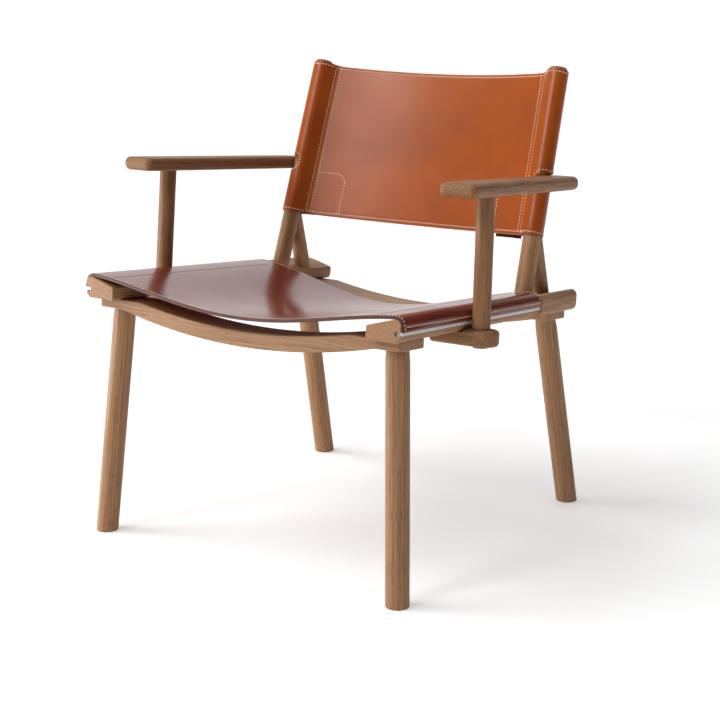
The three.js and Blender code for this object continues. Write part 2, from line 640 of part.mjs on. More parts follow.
/** Half of the seat leather's middle line at the front, from the chair's middle to the hem. */
function seatMiddleLine() {
  const nose = noseMiddle();
  const radius = RAIL_NOSE_RADIUS + SEAT_SLACK + FIT + SEAT_LEATHER / 2;
  const centre = RAIL_FRONT_SPACING / 2 + nose.out - SEAT_SLACK;
  const edge = centre - radius * Math.sin(SEAT_LIFT);
  const lowest = nose.up + radius - SEAT_SAG;
  const rise = SEAT_SAG - radius * (1 - Math.cos(SEAT_LIFT));
  // The rise follows a square and a fourth power, which give it its height and its slope at the bend.
  const fourth = edge * Math.tan(SEAT_LIFT) / 2 - rise;
  const square = rise - fourth;
  const points = [];
  const spanSteps = 16;
  for (let i = 0; i <= spanSteps; i += 1) {
    const share = i / spanSteps;
    const slope = (2 * square * share + 4 * fourth * share ** 3) / edge;
    const up = lowest + square * share ** 2 + fourth * share ** 4;
    points.push({ x: edge * share, up, normal: new THREE.Vector2(-slope, 1).normalize() });
  }
  for (let i = 1; i <= ARC_STEPS; i += 1) {
    const angle = (Math.PI / 2 + SEAT_LIFT) * (1 - i / ARC_STEPS);
    const normal = new THREE.Vector2(Math.cos(angle), Math.sin(angle));
    points.push({ x: centre + radius * normal.x, up: nose.up + radius * normal.y, normal });
  }
  points.push({ x: centre + radius, up: hem, normal: new THREE.Vector2(1, 0) });
  return points;
}

/** Seat leather: a sagging sheet wrapped over both rails, closing in with them towards the back. */
function seatSling() {
  const half = seatMiddleLine();
  const mirrored = half.slice(1).reverse().map(({ x, up, normal }) => (
    { x: -x, up, normal: new THREE.Vector2(-normal.x, normal.y) }
  ));
  const line = [...mirrored, ...half];
  const offset = (sign) => line.map(({ x, up, normal }) => (
    [x + sign * normal.x * SEAT_LEATHER / 2, up + sign * normal.y * SEAT_LEATHER / 2]
  ));
  const outline = pointShape([...offset(1), ...offset(-1).reverse()]);
  const geometry = runBack(outline, SEAT_FRONT, seatRear, { steps: 8 });
  const place = geometry.attributes.position;
  const spanHalf = RAIL_FRONT_SPACING / 2 - halfRail;
  const nose = noseMiddle();
  const noseHalf = RAIL_FRONT_SPACING / 2 + nose.out;
  for (let i = 0; i < place.count; i += 1) {
    const [x, y, z] = [place.getX(i), place.getY(i), place.getZ(i)];
    const share = THREE.MathUtils.clamp(x / spanHalf, -1, 1);
    const across = THREE.MathUtils.clamp(x / noseHalf, -1, 1);
    const back = Math.sin(Math.PI / 2 * (y - SEAT_FRONT) / SEAT_DEPTH);
    const sag = SEAT_REAR_SAG * back * Math.cos(Math.PI / 2 * across) ** 2;
    const hanging = Math.abs(x) > noseHalf ? THREE.MathUtils.clamp((nose.up - z) / (nose.up - hem), 0, 1) : 0;
    const loose = HEM_STANDOFF * hanging * (1 - THREE.MathUtils.smoothstep(y, SEAT_FRONT, 0.75 * ARM_POST_PLACE));
    place.setXYZ(i, x + share * (loose - y * Math.tan(RAIL_TOE)), y, z - sag);
  }
  return solid(geometry);
}

/** Share of the back panel's bow at a place across it: all in the middle, none at the seams. */
function belly(x) {
  return 1 - THREE.MathUtils.clamp(x / panelEdge, -1, 1) ** 2;
}

/** Stand a back piece up between the posts: close it in with them and shape its edges. */
function standBack(geometry) {
  const place = geometry.attributes.position;
  for (let i = 0; i < place.count; i += 1) {
    const [x, behind, rise] = [place.getX(i), place.getY(i), place.getZ(i)];
    const share = THREE.MathUtils.clamp(x / (postSpan - HEM_OFFSET), -1, 1);
    const step = BACK_TOP_STEP * THREE.MathUtils.smoothstep(postSpan - Math.abs(x), POST_RADIUS, HEM_OFFSET);
    const drop = THREE.MathUtils.lerp(-BACK_FOOT_RISE * belly(x), step, rise / BACK_HEIGHT);
    const point = backFoot.clone().addScaledVector(backUp, rise - drop).addScaledVector(backward, behind);
    place.setXYZ(i, x - share * closing * rise, point.y, point.z);
  }
  return geometry;
}

/** Places across the back panel where its bend is drawn, between the edges of the sleeves' rear layers. */
function panelPlaces() {
  const half = postSpan - HEM_OFFSET;
  return Array.from({ length: PANEL_STEPS + 1 }, (_, i) => half * (2 * i / PANEL_STEPS - 1));
}

/** Line across the back panel at a distance behind its middle layer. */
function panelLine(offset) {
  return panelPlaces().map((x) => [x, BACK_SETBACK + BACK_BOW * belly(x) + offset]);
}

/** Line round the right sleeve, from the panel's front at the seam to the hem of the sleeve's rear layer. */
function sleeveLine() {
  const outer = POST_RADIUS + FIT + BACK_LEATHER;
  const front = new THREE.Vector2(-SEAM_OFFSET, BACK_SETBACK - BACK_LEATHER);
  const rear = new THREE.Vector2(-SEAM_OFFSET, BACK_SETBACK + BACK_LEATHER);
  const from = front.angle() + Math.acos(outer / front.length());
  const to = rear.angle() - Math.acos(outer / rear.length()) + 2 * Math.PI;
  const points = [front];
  const steps = 2 * ARC_STEPS;
  for (let i = 0; i <= steps; i += 1) {
    const angle = THREE.MathUtils.lerp(from, to, i / steps);
    points.push(new THREE.Vector2(outer * Math.cos(angle), outer * Math.sin(angle)));
  }
  const hemBow = BACK_BOW * belly(postSpan - HEM_OFFSET);
  points.push(rear, new THREE.Vector2(-HEM_OFFSET, BACK_SETBACK + hemBow + BACK_LEATHER));
  return points.map(({ x, y }) => [postSpan + x, y]);
}

/** Outline of the back leather across the posts: a panel that wraps into a sleeve at each end. */
function backOutline() {
  const right = sleeveLine();
  const left = right.map(([x, y]) => [-x, y]).reverse();
  return pointShape([...panelLine(-BACK_LEATHER), ...right, ...panelLine(0).reverse(), ...left]);
}

/** Back leather: a bowed panel with a sleeve round each post, cut out where the armrests pass. */
function backSling() {
  const shape = backOutline();
  const settings = { depth: BACK_HEIGHT, bevelEnabled: false, steps: 6 };
  let body = solid(standBack(new THREE.ExtrudeGeometry(shape, settings)));
  for (const name of Object.keys(SIDES)) {
    const { post } = axes[name];
    body = body.subtract(rod(post, POST_RADIUS + FIT, 0, 2 * POST_LENGTH, 24));
    body = body.subtract(rod(armDowelAxis(name), ARM_CUTOUT_RADIUS, POST_RADIUS / 3, ARM_DOWEL_LENGTH, 24));
  }
  return body;
}

/** Leather patch behind a lower corner of the back panel, cut from a sheet bent like the panel. */
function cornerPatch(name) {
  const side = SIDES[name];
  const outer = postSpan - HEM_OFFSET - FIT;
  const inner = outer - PATCH_WIDTH;
  const within = ([x, y]) => [THREE.MathUtils.clamp(x, -outer, outer), y];
  const front = panelLine(FIT).map(within);
  const rear = panelLine(FIT + BACK_LEATHER).map(within).reverse();
  const settings = { depth: PATCH_HEIGHT, bevelEnabled: false };
  const sheet = new THREE.ExtrudeGeometry(pointShape([...front, ...rear]), settings);
  sheet.translate(0, 0, -PATCH_SHOWS);
  const outline = roundedShape([
    [side * inner, -2 * PATCH_SHOWS, FIT],
    [side * postSpan, -2 * PATCH_SHOWS, FIT],
    [side * postSpan, PATCH_HEIGHT - PATCH_SHOWS, FIT],
    [side * inner, PATCH_HEIGHT - PATCH_SHOWS, PATCH_RADIUS],
  ]);
  const reach = 4 * BACK_BOW;
  const cutter = runBack(outline, -reach, reach);
  const axesOfBack = new THREE.Matrix4().makeBasis(new THREE.Vector3(1, 0, 0), backward, backUp);
  cutter.applyMatrix4(axesOfBack.setPosition(backFoot));
  return solid(standBack(sheet)).intersect(solid(cutter));
}

addPiece("seat_sling", seatSling(), OXBLOOD_LEATHER);
addPiece("back_sling", backSling(), COGNAC_LEATHER);
addPiece("front_cross_rail", crossRail(FRONT_LEG_PLACE, "front"), OAK);
addPiece("rear_cross_rail", crossRail(REAR_LEG_PLACE, "rear"), OAK);
for (const name of Object.keys(SIDES)) {
  const side = SIDES[name];
  const brace = braceDowelSpan(name);
  addPiece(`side_rail_${name}`, sideRail(name), OAK);
  addPiece(`front_leg_${name}`, leg(name, "front", FRONT_LEG_PLACE), OAK);
  addPiece(`rear_leg_${name}`, leg(name, "rear", REAR_LEG_PLACE), OAK);
  addPiece(`back_post_${name}`, backPost(name), OAK);
  addPiece(`rear_strut_${name}`, rearStrut(name), OAK);
  addPiece(`outrigger_${name}`, outrigger(name), OAK);
  addPiece(`arm_post_${name}`, armPost(name), OAK);
  addPiece(`armrest_${name}`, armrest(name), OAK);
  addPiece(`corner_patch_${name}`, cornerPatch(name), COGNAC_LEATHER);
  addPiece(`groove_strip_${name}`, grooveStrip(name), GREY_STRIP);
  const grooveRod = rod(rodAxis(side), ROD_RADIUS, STRIP_SETBACK, seatRear, SMALL_SIDES);
  addPiece(`groove_rod_${name}`, grooveRod, STEEL);
  const armDowel = rod(armDowelAxis(name), DOWEL_RADIUS, armDowelStart, armDowelEnd, SMALL_SIDES);
  addPiece(`arm_dowel_${name}`, armDowel, OAK);
  const braceDowel = rod(axes[name].strut, BRACE_DOWEL_RADIUS, brace.start, brace.end, SMALL_SIDES);
  addPiece(`brace_dowel_${name}`, braceDowel, OAK);
  for (const { name: screwName, axis, length } of railScrews(side)) {
    addPiece(`${screwName}_${name}`, screw(axis, length, 0), STEEL);
  }
}

// The origin is on the floor, in the middle of the chair's box.
chair.updateMatrixWorld(true);
const box = new THREE.Box3().setFromObject(chair, true);
chair.position.y = -(box.min.y + box.max.y) / 2;

export default chair;
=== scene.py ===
"""Sling lounge chair: an oak frame with a seat and a back of thick vegetable-tanned leather.

Each piece is modelled in its own millimetres and placed in the frame's metres by a matrix.
"""

import logging
import math
import random
from abc import ABC, abstractmethod
from dataclasses import dataclass
from enum import Enum
from typing import Any, Callable, Sequence

import bmesh
import bpy
import numpy as np
from mathutils import Matrix, Vector, noise


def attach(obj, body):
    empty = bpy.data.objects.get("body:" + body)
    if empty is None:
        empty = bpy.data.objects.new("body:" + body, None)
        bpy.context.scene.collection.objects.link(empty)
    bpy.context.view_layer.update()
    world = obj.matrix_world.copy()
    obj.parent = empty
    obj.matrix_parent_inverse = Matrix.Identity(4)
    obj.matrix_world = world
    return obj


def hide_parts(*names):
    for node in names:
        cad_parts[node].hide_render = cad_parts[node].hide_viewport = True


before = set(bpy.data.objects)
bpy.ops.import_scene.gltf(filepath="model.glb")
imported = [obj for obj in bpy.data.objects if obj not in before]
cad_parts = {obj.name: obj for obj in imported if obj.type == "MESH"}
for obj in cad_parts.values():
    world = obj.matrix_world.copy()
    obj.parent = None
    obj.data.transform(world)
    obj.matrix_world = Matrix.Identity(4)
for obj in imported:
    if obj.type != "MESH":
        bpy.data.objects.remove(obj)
log = logging.getLogger("chair")

Shape = bmesh.types.BMesh
Piece = bpy.types.Object
Material = bpy.types.Material
Tree = bpy.types.NodeTree
Spot = tuple[float, float]
Line = list[tuple[Vector, Vector]]
Surface = Callable[[float, float, float], Vector]
Layer = Callable[[float, float], float]

MM = 0.001
BODY = "root"
GRAIN = "grain"
PAST = 20.0  # how far a cutting shape reaches past what it cuts, or shares of it where room is short
UP = Vector((0.0, 0.0, 1.0))
ALONG_RAIL = Matrix(((1, 0, 0, 0), (0, 0, 1, 0), (0, 1, 0, 0), (0, 0, 0, 1)))  # a board's z along y
ACROSS_SEAT = Matrix(((0, 0, 1, 0), (1, 0, 0, 0), (0, 1, 0, 0), (0, 0, 0, 1)))  # a board's z along x


class Side(Enum):
    """Side of the chair as seen from the front, with the sign of its X."""

    LEFT = -1
    RIGHT = 1

    @property
    def tag(self) -> str:
        """End of the side's piece names."""
        return self.name.lower()


class Cut(Enum):
    """What a cutting tool does to a piece."""

    AWAY = "DIFFERENCE"
    WITHIN = "INTERSECT"
    JOIN = "UNION"


class GrainSource(Enum):
    """Where oak takes its grain from: the board stored on the mesh, or plain object coordinates."""

    BOARD = "board"
    OBJECT = "object"


def clamp(value: float, low: float = 0.0, high: float = 1.0) -> float:
    """Keep a value between two ends."""
    return max(low, min(high, value))


def smooth(value: float) -> float:
    """Ease a share in and out between 0 and 1."""
    share = clamp(value)
    return share * share * (3 - 2 * share)


def lengths(*columns: np.ndarray) -> np.ndarray:
    """Distance along a line from its first point to each point, from the points' columns."""
    steps = np.linalg.norm(np.diff(np.column_stack(columns), axis=0), axis=1)
    return np.concatenate(([0.0], np.cumsum(steps)))


def linear(hex_colour: str) -> tuple[float, float, float, float]:
    """Turn an sRGB hex colour to linear light.

    Args:
        hex_colour: Colour such as "#C8A076".

    Returns:
        Red, green, blue and an alpha of 1.
    """
    parts = [int(hex_colour[i:i + 2], 16) / 255 for i in (1, 3, 5)]
    red, green, blue = (c / 12.92 if c <= 0.04045 else ((c + 0.055) / 1.055) ** 2.4 for c in parts)
    return red, green, blue, 1.0


def set_inputs(tree: Tree, node: bpy.types.Node, inputs: dict[Any, Any]) -> None:
    """Set or link a node's inputs.

    Args:
        tree: Node tree that holds the node.
        node: The node.
        inputs: Inputs by name or number, each a socket to link or a value to set.
    """
    for key, value in inputs.items():
        if isinstance(value, bpy.types.NodeSocket):
            tree.links.new(value, node.inputs[key])
        else:
            node.inputs[key].default_value = value


def add_node(tree: Tree, kind: str, inputs: dict[Any, Any] | None = None, output: int | str = 0,
             **settings: Any) -> bpy.types.NodeSocket:
    """Add a node with its settings and links.

    Args:
        tree: Node tree that gets the node.
        kind: Blender's name of the node, after "ShaderNode".
        inputs: Inputs by name or number, each a socket to link or a value to set.
        output: Name or number of the output to give.
        settings: Attributes of the node.

    Returns:
        The output.
    """
    node = tree.nodes.new("ShaderNode" + kind)
    for name, value in settings.items():
        setattr(node, name, value)
    set_inputs(tree, node, inputs or {})
    return node.outputs[output]


def blank_material(name: str) -> tuple[Material, Tree, bpy.types.Node]:
    """Make a material that holds only a principled shader.

    Args:
        name: Material's name.

    Returns:
        The material, its node tree and the shader.
    """
    material = bpy.data.materials.new(name)
    material.use_nodes = True
    tree = material.node_tree
    tree.nodes.clear()
    shader = tree.nodes.new("ShaderNodeBsdfPrincipled")
    set_inputs(tree, tree.nodes.new("ShaderNodeOutputMaterial"), {"Surface": shader.outputs[0]})
    return material, tree, shader


@dataclass(frozen=True)
class OakFinish:
    """Oak, turned and planed and then oiled: warm, satin, with open pores along the grain.

    Growth rings are cylinders round a pith outside the board, so faces show long figure and ends show arcs.
    """

    name: str = "oiled_oak"
    light: str = "#AE835A"
    dark: str = "#845B3B"
    pore: str = "#563821"
    ring_width: float = 3.6
    ring_drift: float = 16.0
    drift_width: float = 55.0
    drift_length: float = 420.0
    fibre_width: float = 2.4  # drawn several times wider than real fibres, which are too fine to show
    fibre_length: float = 110.0
    pore_width: float = 1.3  # drawn wider than real pores for the same reason
    pore_length: float = 20.0
    board_patch: float = 150.0
    roughness: float = 0.55
    specular: float = 0.4
    bump: float = 0.25
    depth: float = 0.25

    def material(self, source: GrainSource) -> Material:
        """Make the material.

        Args:
            source: Where the grain's coordinates come from.

        Returns:
            The material.
        """
        material, tree, shader = blank_material(f"{self.name}_{source.value}")
        if source is GrainSource.BOARD:
            grain = add_node(tree, "Attribute", output="Vector", attribute_name=GRAIN)
        else:
            place = add_node(tree, "TexCoord", output="Object")
            grain = add_node(tree, "VectorMath", {0: place, "Scale": 1 / MM}, operation="SCALE")
        pattern = {}
        for name, across, along, detail in (
                ("drift", self.drift_width, self.drift_length, 1.0),
                ("fibre", self.fibre_width, self.fibre_length, 3.0),
                ("pore", self.pore_width, self.pore_length, 1.0),
                ("board", self.board_patch, 6 * self.board_patch, 1.0)):
            scaled = add_node(tree, "VectorMath", {0: grain, 1: (1 / across, 1 / across, 1 / along)},
                              operation="MULTIPLY")
            pattern[name] = add_node(tree, "TexNoise", {"Vector": scaled, "Scale": 1.0, "Detail": detail})
        flat = add_node(tree, "VectorMath", {0: grain, 1: (1.0, 1.0, 0.0)}, operation="MULTIPLY")
        radius = add_node(tree, "VectorMath", {0: flat}, "Value", operation="LENGTH")
        drifted = add_node(tree, "Math", {0: pattern["drift"], 1: self.ring_drift, 2: radius},
                           operation="MULTIPLY_ADD")
        turns = add_node(tree, "Math", {0: drifted, 1: 2 * math.pi / self.ring_width}, operation="MULTIPLY")
        wave = add_node(tree, "Math", {0: turns}, operation="SINE")
        ring = add_node(tree, "MapRange", {"Value": wave, "From Min": -0.2, "From Max": 1.0, "To Max": 0.32})
        fibre = add_node(tree, "MapRange",
                         {"Value": pattern["fibre"], "From Min": 0.3, "From Max": 0.7, "To Max": 0.68})
        tone = add_node(tree, "Math", {0: ring, 1: fibre}, operation="ADD")
        wood = add_node(tree, "Mix", {0: tone, 6: linear(self.light), 7: linear(self.dark)}, 2, data_type="RGBA")
        pore = add_node(tree, "MapRange",
                        {"Value": pattern["pore"], "From Min": 0.56, "From Max": 0.74, "To Max": 0.55})
        pored = add_node(tree, "Mix", {0: pore, 6: wood, 7: linear(self.pore)}, 2, data_type="RGBA")
        shift = add_node(tree, "MapRange",
                         {"Value": pattern["board"], "From Min": 0.3, "From Max": 0.7, "To Min": 0.9, "To Max": 1.08})
        toned = add_node(tree, "HueSaturation", {"Color": pored, "Value": shift})
        rough = add_node(tree, "MapRange",
                         {"Value": tone, "To Min": self.roughness - 0.06, "To Max": self.roughness + 0.08})
        height = add_node(tree, "Math", {0: tone, 1: pore}, operation="ADD")
        bump = add_node(tree, "Bump", {"Height": height, "Strength": self.bump, "Distance": self.depth * MM},
                        invert=True)
        set_inputs(tree, shader, {"Base Color": toned, "Roughness": rough, "Normal": bump,
                                  "Specular IOR Level": self.specular})
        return material


@dataclass(frozen=True)
class LeatherFinish:
    """Vegetable-tanned leather with a glazed grain: fine pebble, soft mottling and a waxy gloss."""

    name: str
    light: str
    deep: str
    roughness: float
    specular: float = 0.4
    bump: float = 0.08
    depth: float = 0.12
    pebble: float = 2.0  # drawn about twice as coarse as the real grain so that it shows
    mottle: float = 70.0
    uneven: float = 0.04

    def material(self) -> Material:
        """Make the material of the leather's faces.

        Returns:
            The material.
        """
        material, tree, shader = blank_material(self.name)
        place = add_node(tree, "TexCoord", output="Object")
        mottle = add_node(tree, "TexNoise", {"Vector": place, "Scale": 1 / (self.mottle * MM), "Detail": 4.0,
                                             "Roughness": 0.6})
        # The range is wide, so that no part of the mottling is cut off flat.
        share = add_node(tree, "MapRange", {"Value": mottle, "From Min": 0.1, "From Max": 0.9})
        colour = add_node(tree, "Mix", {0: share, 6: linear(self.light), 7: linear(self.deep)}, 2, data_type="RGBA")
        pebble = add_node(tree, "TexVoronoi", {"Vector": place, "Scale": 1 / (self.pebble * MM)}, feature="F1")
        fine = add_node(tree, "TexNoise", {"Vector": place, "Scale": 1 / (2.2 * self.pebble * MM), "Detail": 3.0})
        grain = add_node(tree, "Math", {0: fine, 1: 0.8, 2: pebble}, operation="MULTIPLY_ADD")
        rough = add_node(tree, "MapRange", {"Value": share, "To Min": self.roughness - self.uneven,
                                            "To Max": self.roughness + self.uneven})
        bump = add_node(tree, "Bump", {"Height": grain, "Strength": self.bump, "Distance": self.depth * MM})
        set_inputs(tree, shader, {"Base Color": colour, "Roughness": rough, "Normal": bump,
                                  "Specular IOR Level": self.specular})
        return material


@dataclass(frozen=True)
class PlainFinish:
    """A finish of one even colour with a fine speckle: cut leather edges, thread, plastic and steel."""

    name: str
    colour: str
    shade: str
    speckle: float
    roughness: float
    metallic: float = 0.0
    bump: float = 0.1
    depth: float = 0.1
    uneven: float = 0.05

    def material(self) -> Material:
        """Make the material.

        Returns:
            The material.
        """
        material, tree, shader = blank_material(self.name)
        place = add_node(tree, "TexCoord", output="Object")
        speckle = add_node(tree, "TexNoise", {"Vector": place, "Scale": 1 / (self.speckle * MM), "Detail": 3.0})
        share = add_node(tree, "MapRange", {"Value": speckle, "From Min": 0.3, "From Max": 0.7})
        colour = add_node(tree, "Mix", {0: share, 6: linear(self.colour), 7: linear(self.shade)}, 2,
                          data_type="RGBA")
        rough = add_node(tree, "MapRange", {"Value": share, "To Min": self.roughness - self.uneven,
                                            "To Max": self.roughness + self.uneven})
        bump = add_node(tree, "Bump", {"Height": speckle, "Strength": self.bump, "Distance": self.depth * MM})
        set_inputs(tree, shader, {"Base Color": colour, "Roughness": rough, "Normal": bump,
                                  "Metallic": self.metallic})
        return material


@dataclass(frozen=True)
class Finishes:
    """Materials of the whole chair, made once."""

    oak: Material
    handled_oak: Material
    dowel_oak: Material
    seat: Material
    seat_edge: Material
    back: Material
    patch: Material
    back_edge: Material
    pale_thread: Material
    dark_thread: Material
    strip: Material
    steel: Material

    @classmethod
    def make(cls) -> "Finishes":
        """Make every material from its finish.

        Returns:
            The materials.
        """
        # A darker, browner copy of the oak for the armrests, their posts and outriggers: painted shade that keeps the
        # armrests' tops dark under the overhead light.
        arm_shade_finish = OakFinish("handled_oak", "#9C7049", "#754F33", "#4A2F1C", specular=0.3)
        # No gloss varies across a roughness of 0.27, where the picture's noise filter changes and leaves marks.
        return cls(
            oak=OakFinish().material(GrainSource.BOARD),
            # The arm pieces take that darker, browner oak: painted shade on their tops and sides.
            handled_oak=arm_shade_finish.material(GrainSource.BOARD),
            dowel_oak=OakFinish().material(GrainSource.OBJECT),
            # Oxblood, glazed hard: it mirrors the posts at a low angle.
            seat=LeatherFinish("glazed_oxblood_leather", "#833423", "#5F241B", 0.225, 0.3, 0.03).material(),
            # Cut edges, burnished with wax: a smooth, duller line that closes each leather.
            seat_edge=PlainFinish("burnished_oxblood_edge", "#5A2A20", "#43201A", 3.0, 0.45).material(),
            # Cognac, waxed: broad soft highlights that bring out its orange.
            back=LeatherFinish("waxed_cognac_leather", "#AB5211", "#8F3F0C", 0.32).material(),
            # The same leather, dark and dull: painted shade on the patches, whose strips below the panel sit in its
            # shadow though they face the lamps.
            patch=LeatherFinish("cognac_flesh_side", "#522B18", "#321A10", 0.6, 0.1).material(),
            back_edge=PlainFinish("burnished_cognac_edge", "#8A4520", "#6B3519", 3.0, 0.5).material(),
            # Waxed thread, twisted: pale or brown beads with a dull sheen.
            pale_thread=PlainFinish("waxed_linen_thread", "#FFF4DC", "#F2E0BC", 0.8, 0.6, bump=0.4).material(),
            dark_thread=PlainFinish("waxed_brown_thread", "#3E1F17", "#331A13", 0.8, 0.6, bump=0.4).material(),
            # Extruded vinyl: an even pale line. Drawn steel: a small bright tip.
            strip=PlainFinish("extruded_grey_vinyl", "#D2D2CE", "#C4C4C0", 6.0, 0.42).material(),
            steel=PlainFinish("drawn_steel", "#C3C5C8", "#A9ABAE", 2.0, 0.34, metallic=1.0).material(),
        )


def place_object(name: str, bm: Shape, place: Matrix) -> Piece:
    """Put a shape in the scene as an object at the origin, and free it.

    Args:
        name: Object's name.
        bm: Shape in its own coordinates.
        place: Matrix from those to the frame.

    Returns:
        The object.
    """
    bmesh.ops.transform(bm, matrix=place, verts=bm.verts)
    mesh = bpy.data.meshes.new(name)
    bm.to_mesh(mesh)
    bm.free()
    made = bpy.data.objects.new(name, mesh)
    bpy.context.scene.collection.objects.link(made)
    return made


def settle(piece: Piece) -> None:
    """Make a piece's modifiers part of its mesh.

    Args:
        piece: Piece with modifiers.
    """
    graph = bpy.context.evaluated_depsgraph_get()
    mesh = bpy.data.meshes.new_from_object(piece.evaluated_get(graph), preserve_all_data_layers=True, depsgraph=graph)
    spent = piece.data
    piece.modifiers.clear()
    piece.data = mesh
    mesh.name = piece.name
    bpy.data.meshes.remove(spent)


def cut(piece: Piece, tool: Piece, how: Cut) -> None:
    """Cut a piece with a tool and take the tool out of the scene.

    Args:
        piece: Closed mesh to cut.
        tool: Closed mesh to cut with.
        how: What the cut keeps.
    """
    modifier = piece.modifiers.new("cut", "BOOLEAN")
    modifier.operation = how.value
    modifier.solver = "EXACT"
    modifier.object = tool
    settle(piece)
    mesh = tool.data
    bpy.data.objects.remove(tool)
    bpy.data.meshes.remove(mesh)


def sharp_edges(bm: Shape, degrees: float = 60.0) -> list[bmesh.types.BMEdge]:
    """Find the edges whose faces meet at more than an angle."""
    return [e for e in bm.edges if e.is_manifold and e.calc_face_angle(0.0) > math.radians(degrees)]


def ease(bm: Shape, edges: Sequence[bmesh.types.BMEdge], radius: float, segments: int = 3) -> None:
    """Round edges to a radius."""
    bmesh.ops.bevel(bm, geom=list(edges), offset=radius, offset_type="OFFSET", segments=segments, profile=0.5,
                    affect="EDGES", material=-1, clamp_overlap=True)


def round_corner(bm: Shape, corner: bmesh.types.BMVert, offset: float, segments: int) -> None:
    """Round a corner of a flat shape, from an offset along its sides."""
    bmesh.ops.bevel(bm, geom=[corner], offset=offset, offset_type="OFFSET", segments=segments, profile=0.5,
                    affect="VERTICES", material=-1, clamp_overlap=False)


def draw_out(bm: Shape, way: tuple[float, float, float]) -> None:
    """Draw a flat shape out to a closed one.

    Args:
        bm: Flat shape.
        way: How far its faces go.
    """
    grown = bmesh.ops.extrude_face_region(bm, geom=bm.faces[:])
    moved = [v for v in grown["geom"] if isinstance(v, bmesh.types.BMVert)]
    bmesh.ops.translate(bm, vec=way, verts=moved)
    bmesh.ops.recalc_face_normals(bm, faces=bm.faces)


def shade(piece: Piece, degrees: float = 34.0) -> None:
    """Close a piece's doubles, turn its faces outwards and smooth them up to an angle.

    Args:
        piece: Closed mesh.
        degrees: Edges sharper than this stay sharp.
    """
    bm = bmesh.new()
    bm.from_mesh(piece.data)
    bmesh.ops.remove_doubles(bm, verts=bm.verts, dist=1e-6)
    bmesh.ops.recalc_face_normals(bm, faces=bm.faces)
    for face in bm.faces:
        face.smooth = True
    for edge in sharp_edges(bm, degrees):
        edge.smooth = False
    bm.to_mesh(piece.data)
    bm.free()
    piece.modifiers.new("even_normals", "WEIGHTED_NORMAL").keep_sharp = True


def stand_in(piece: Piece, node: str = "") -> None:
    """Put a piece on the body in its node's place, and report it.

    Args:
        piece: Finished piece, named for its material and then for its node.
        node: CAD node that it stands for, if its name doesn't say so.
    """
    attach(piece, BODY)
    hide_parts(node or piece.name.split("_", 1)[1])
    log.info("%s: %d faces", piece.name, len(piece.data.polygons))


def turned(profile: Sequence[tuple[float, float]], sides: int = 64) -> Shape:
    """Spin a profile round the z axis.

    Args:
        profile: Radius and height pairs from one pole to the other.
        sides: Steps of the spin.

    Returns:
        The closed shape.
    """
    bm = bmesh.new()
    chain = [bm.verts.new((radius, 0.0, height)) for radius, height in profile]
    edges = [bm.edges.new(pair) for pair in zip(chain, chain[1:])]
    bmesh.ops.spin(bm, geom=[*chain, *edges], cent=(0, 0, 0), axis=(0, 0, 1), dvec=(0, 0, 0), angle=2 * math.pi,
                   steps=sides, use_merge=True, use_duplicate=False)
    bmesh.ops.remove_doubles(bm, verts=bm.verts, dist=1e-4)
    bmesh.ops.recalc_face_normals(bm, faces=bm.faces)
    return bm


def turned_rod(radius: float, start: float, end: float, sides: int = 64) -> Shape:
    """Turn a plain rod between two heights."""
    return turned([(0.0, start), (radius, start), (radius, end), (0.0, end)], sides)


def slice_off(bm: Shape, point: Vector, outward: Vector, rim: float = 0.0) -> None:
    """Cut off what lies beyond a plane, close the cut and ease its rim.

    Args:
        bm: Closed shape.
        point: Point on the plane.
        outward: Normal of the plane, towards what goes.
        rim: Radius of the eased rim.
    """
    found = bmesh.ops.bisect_plane(bm, geom=[*bm.verts, *bm.edges, *bm.faces], plane_co=point, plane_no=outward,
                                   clear_outer=True, dist=1e-5)
    loop = [e for e in found["geom_cut"] if isinstance(e, bmesh.types.BMEdge)]
    made = bmesh.ops.contextual_create(bm, geom=loop)
    bmesh.ops.recalc_face_normals(bm, faces=bm.faces)
    if rim:
        ease(bm, {e for face in made["faces"] for e in face.edges}, rim)


def plate(side: Side, corners: Sequence[tuple[float, float, float]], low: float, high: float, edge: float,
          corner_steps: int, edge_steps: int) -> Shape:
    """Make a flat plate with rounded corners and edges.

    Args:
        side: Side of the chair.
        corners: Distance outwards, y and radius of each corner in plan, all about square.
        low: Height of the underside.
        high: Height of the top.
        edge: Radius of the top's and the underside's edges.
        corner_steps: Segments of a corner.
        edge_steps: Segments of an edge.

    Returns:
        The closed shape.
    """
    bm = bmesh.new()
    points = [bm.verts.new((side.value * out, y, low)) for out, y, _ in corners]
    bm.faces.new(points)
    for point, (_, _, radius) in zip(points, corners):
        round_corner(bm, point, radius, corner_steps)
    draw_out(bm, (0.0, 0.0, high - low))
    ease(bm, [e for e in bm.edges if abs(e.verts[0].co.z - e.verts[1].co.z) < 1e-6], edge, edge_steps)
    return bm


@dataclass(frozen=True)
class Axis:
    """Line that a turned piece stands on, in seat coordinates."""

    origin: Vector
    direction: Vector

    def at(self, distance: float) -> Vector:
        """Point at a distance along the line."""
        return self.origin + distance * self.direction

    def at_height(self, height: float) -> Vector:
        """Point at a height above the underside of the rails."""
        return self.at((height - self.origin.z) / self.direction.z)

    def lathe(self) -> Matrix:
        """Matrix from a lathe's coordinates, with z along the line, to seat coordinates."""
        return Matrix.Translation(self.origin) @ self.direction.to_track_quat("Z", "Y").to_matrix().to_4x4()


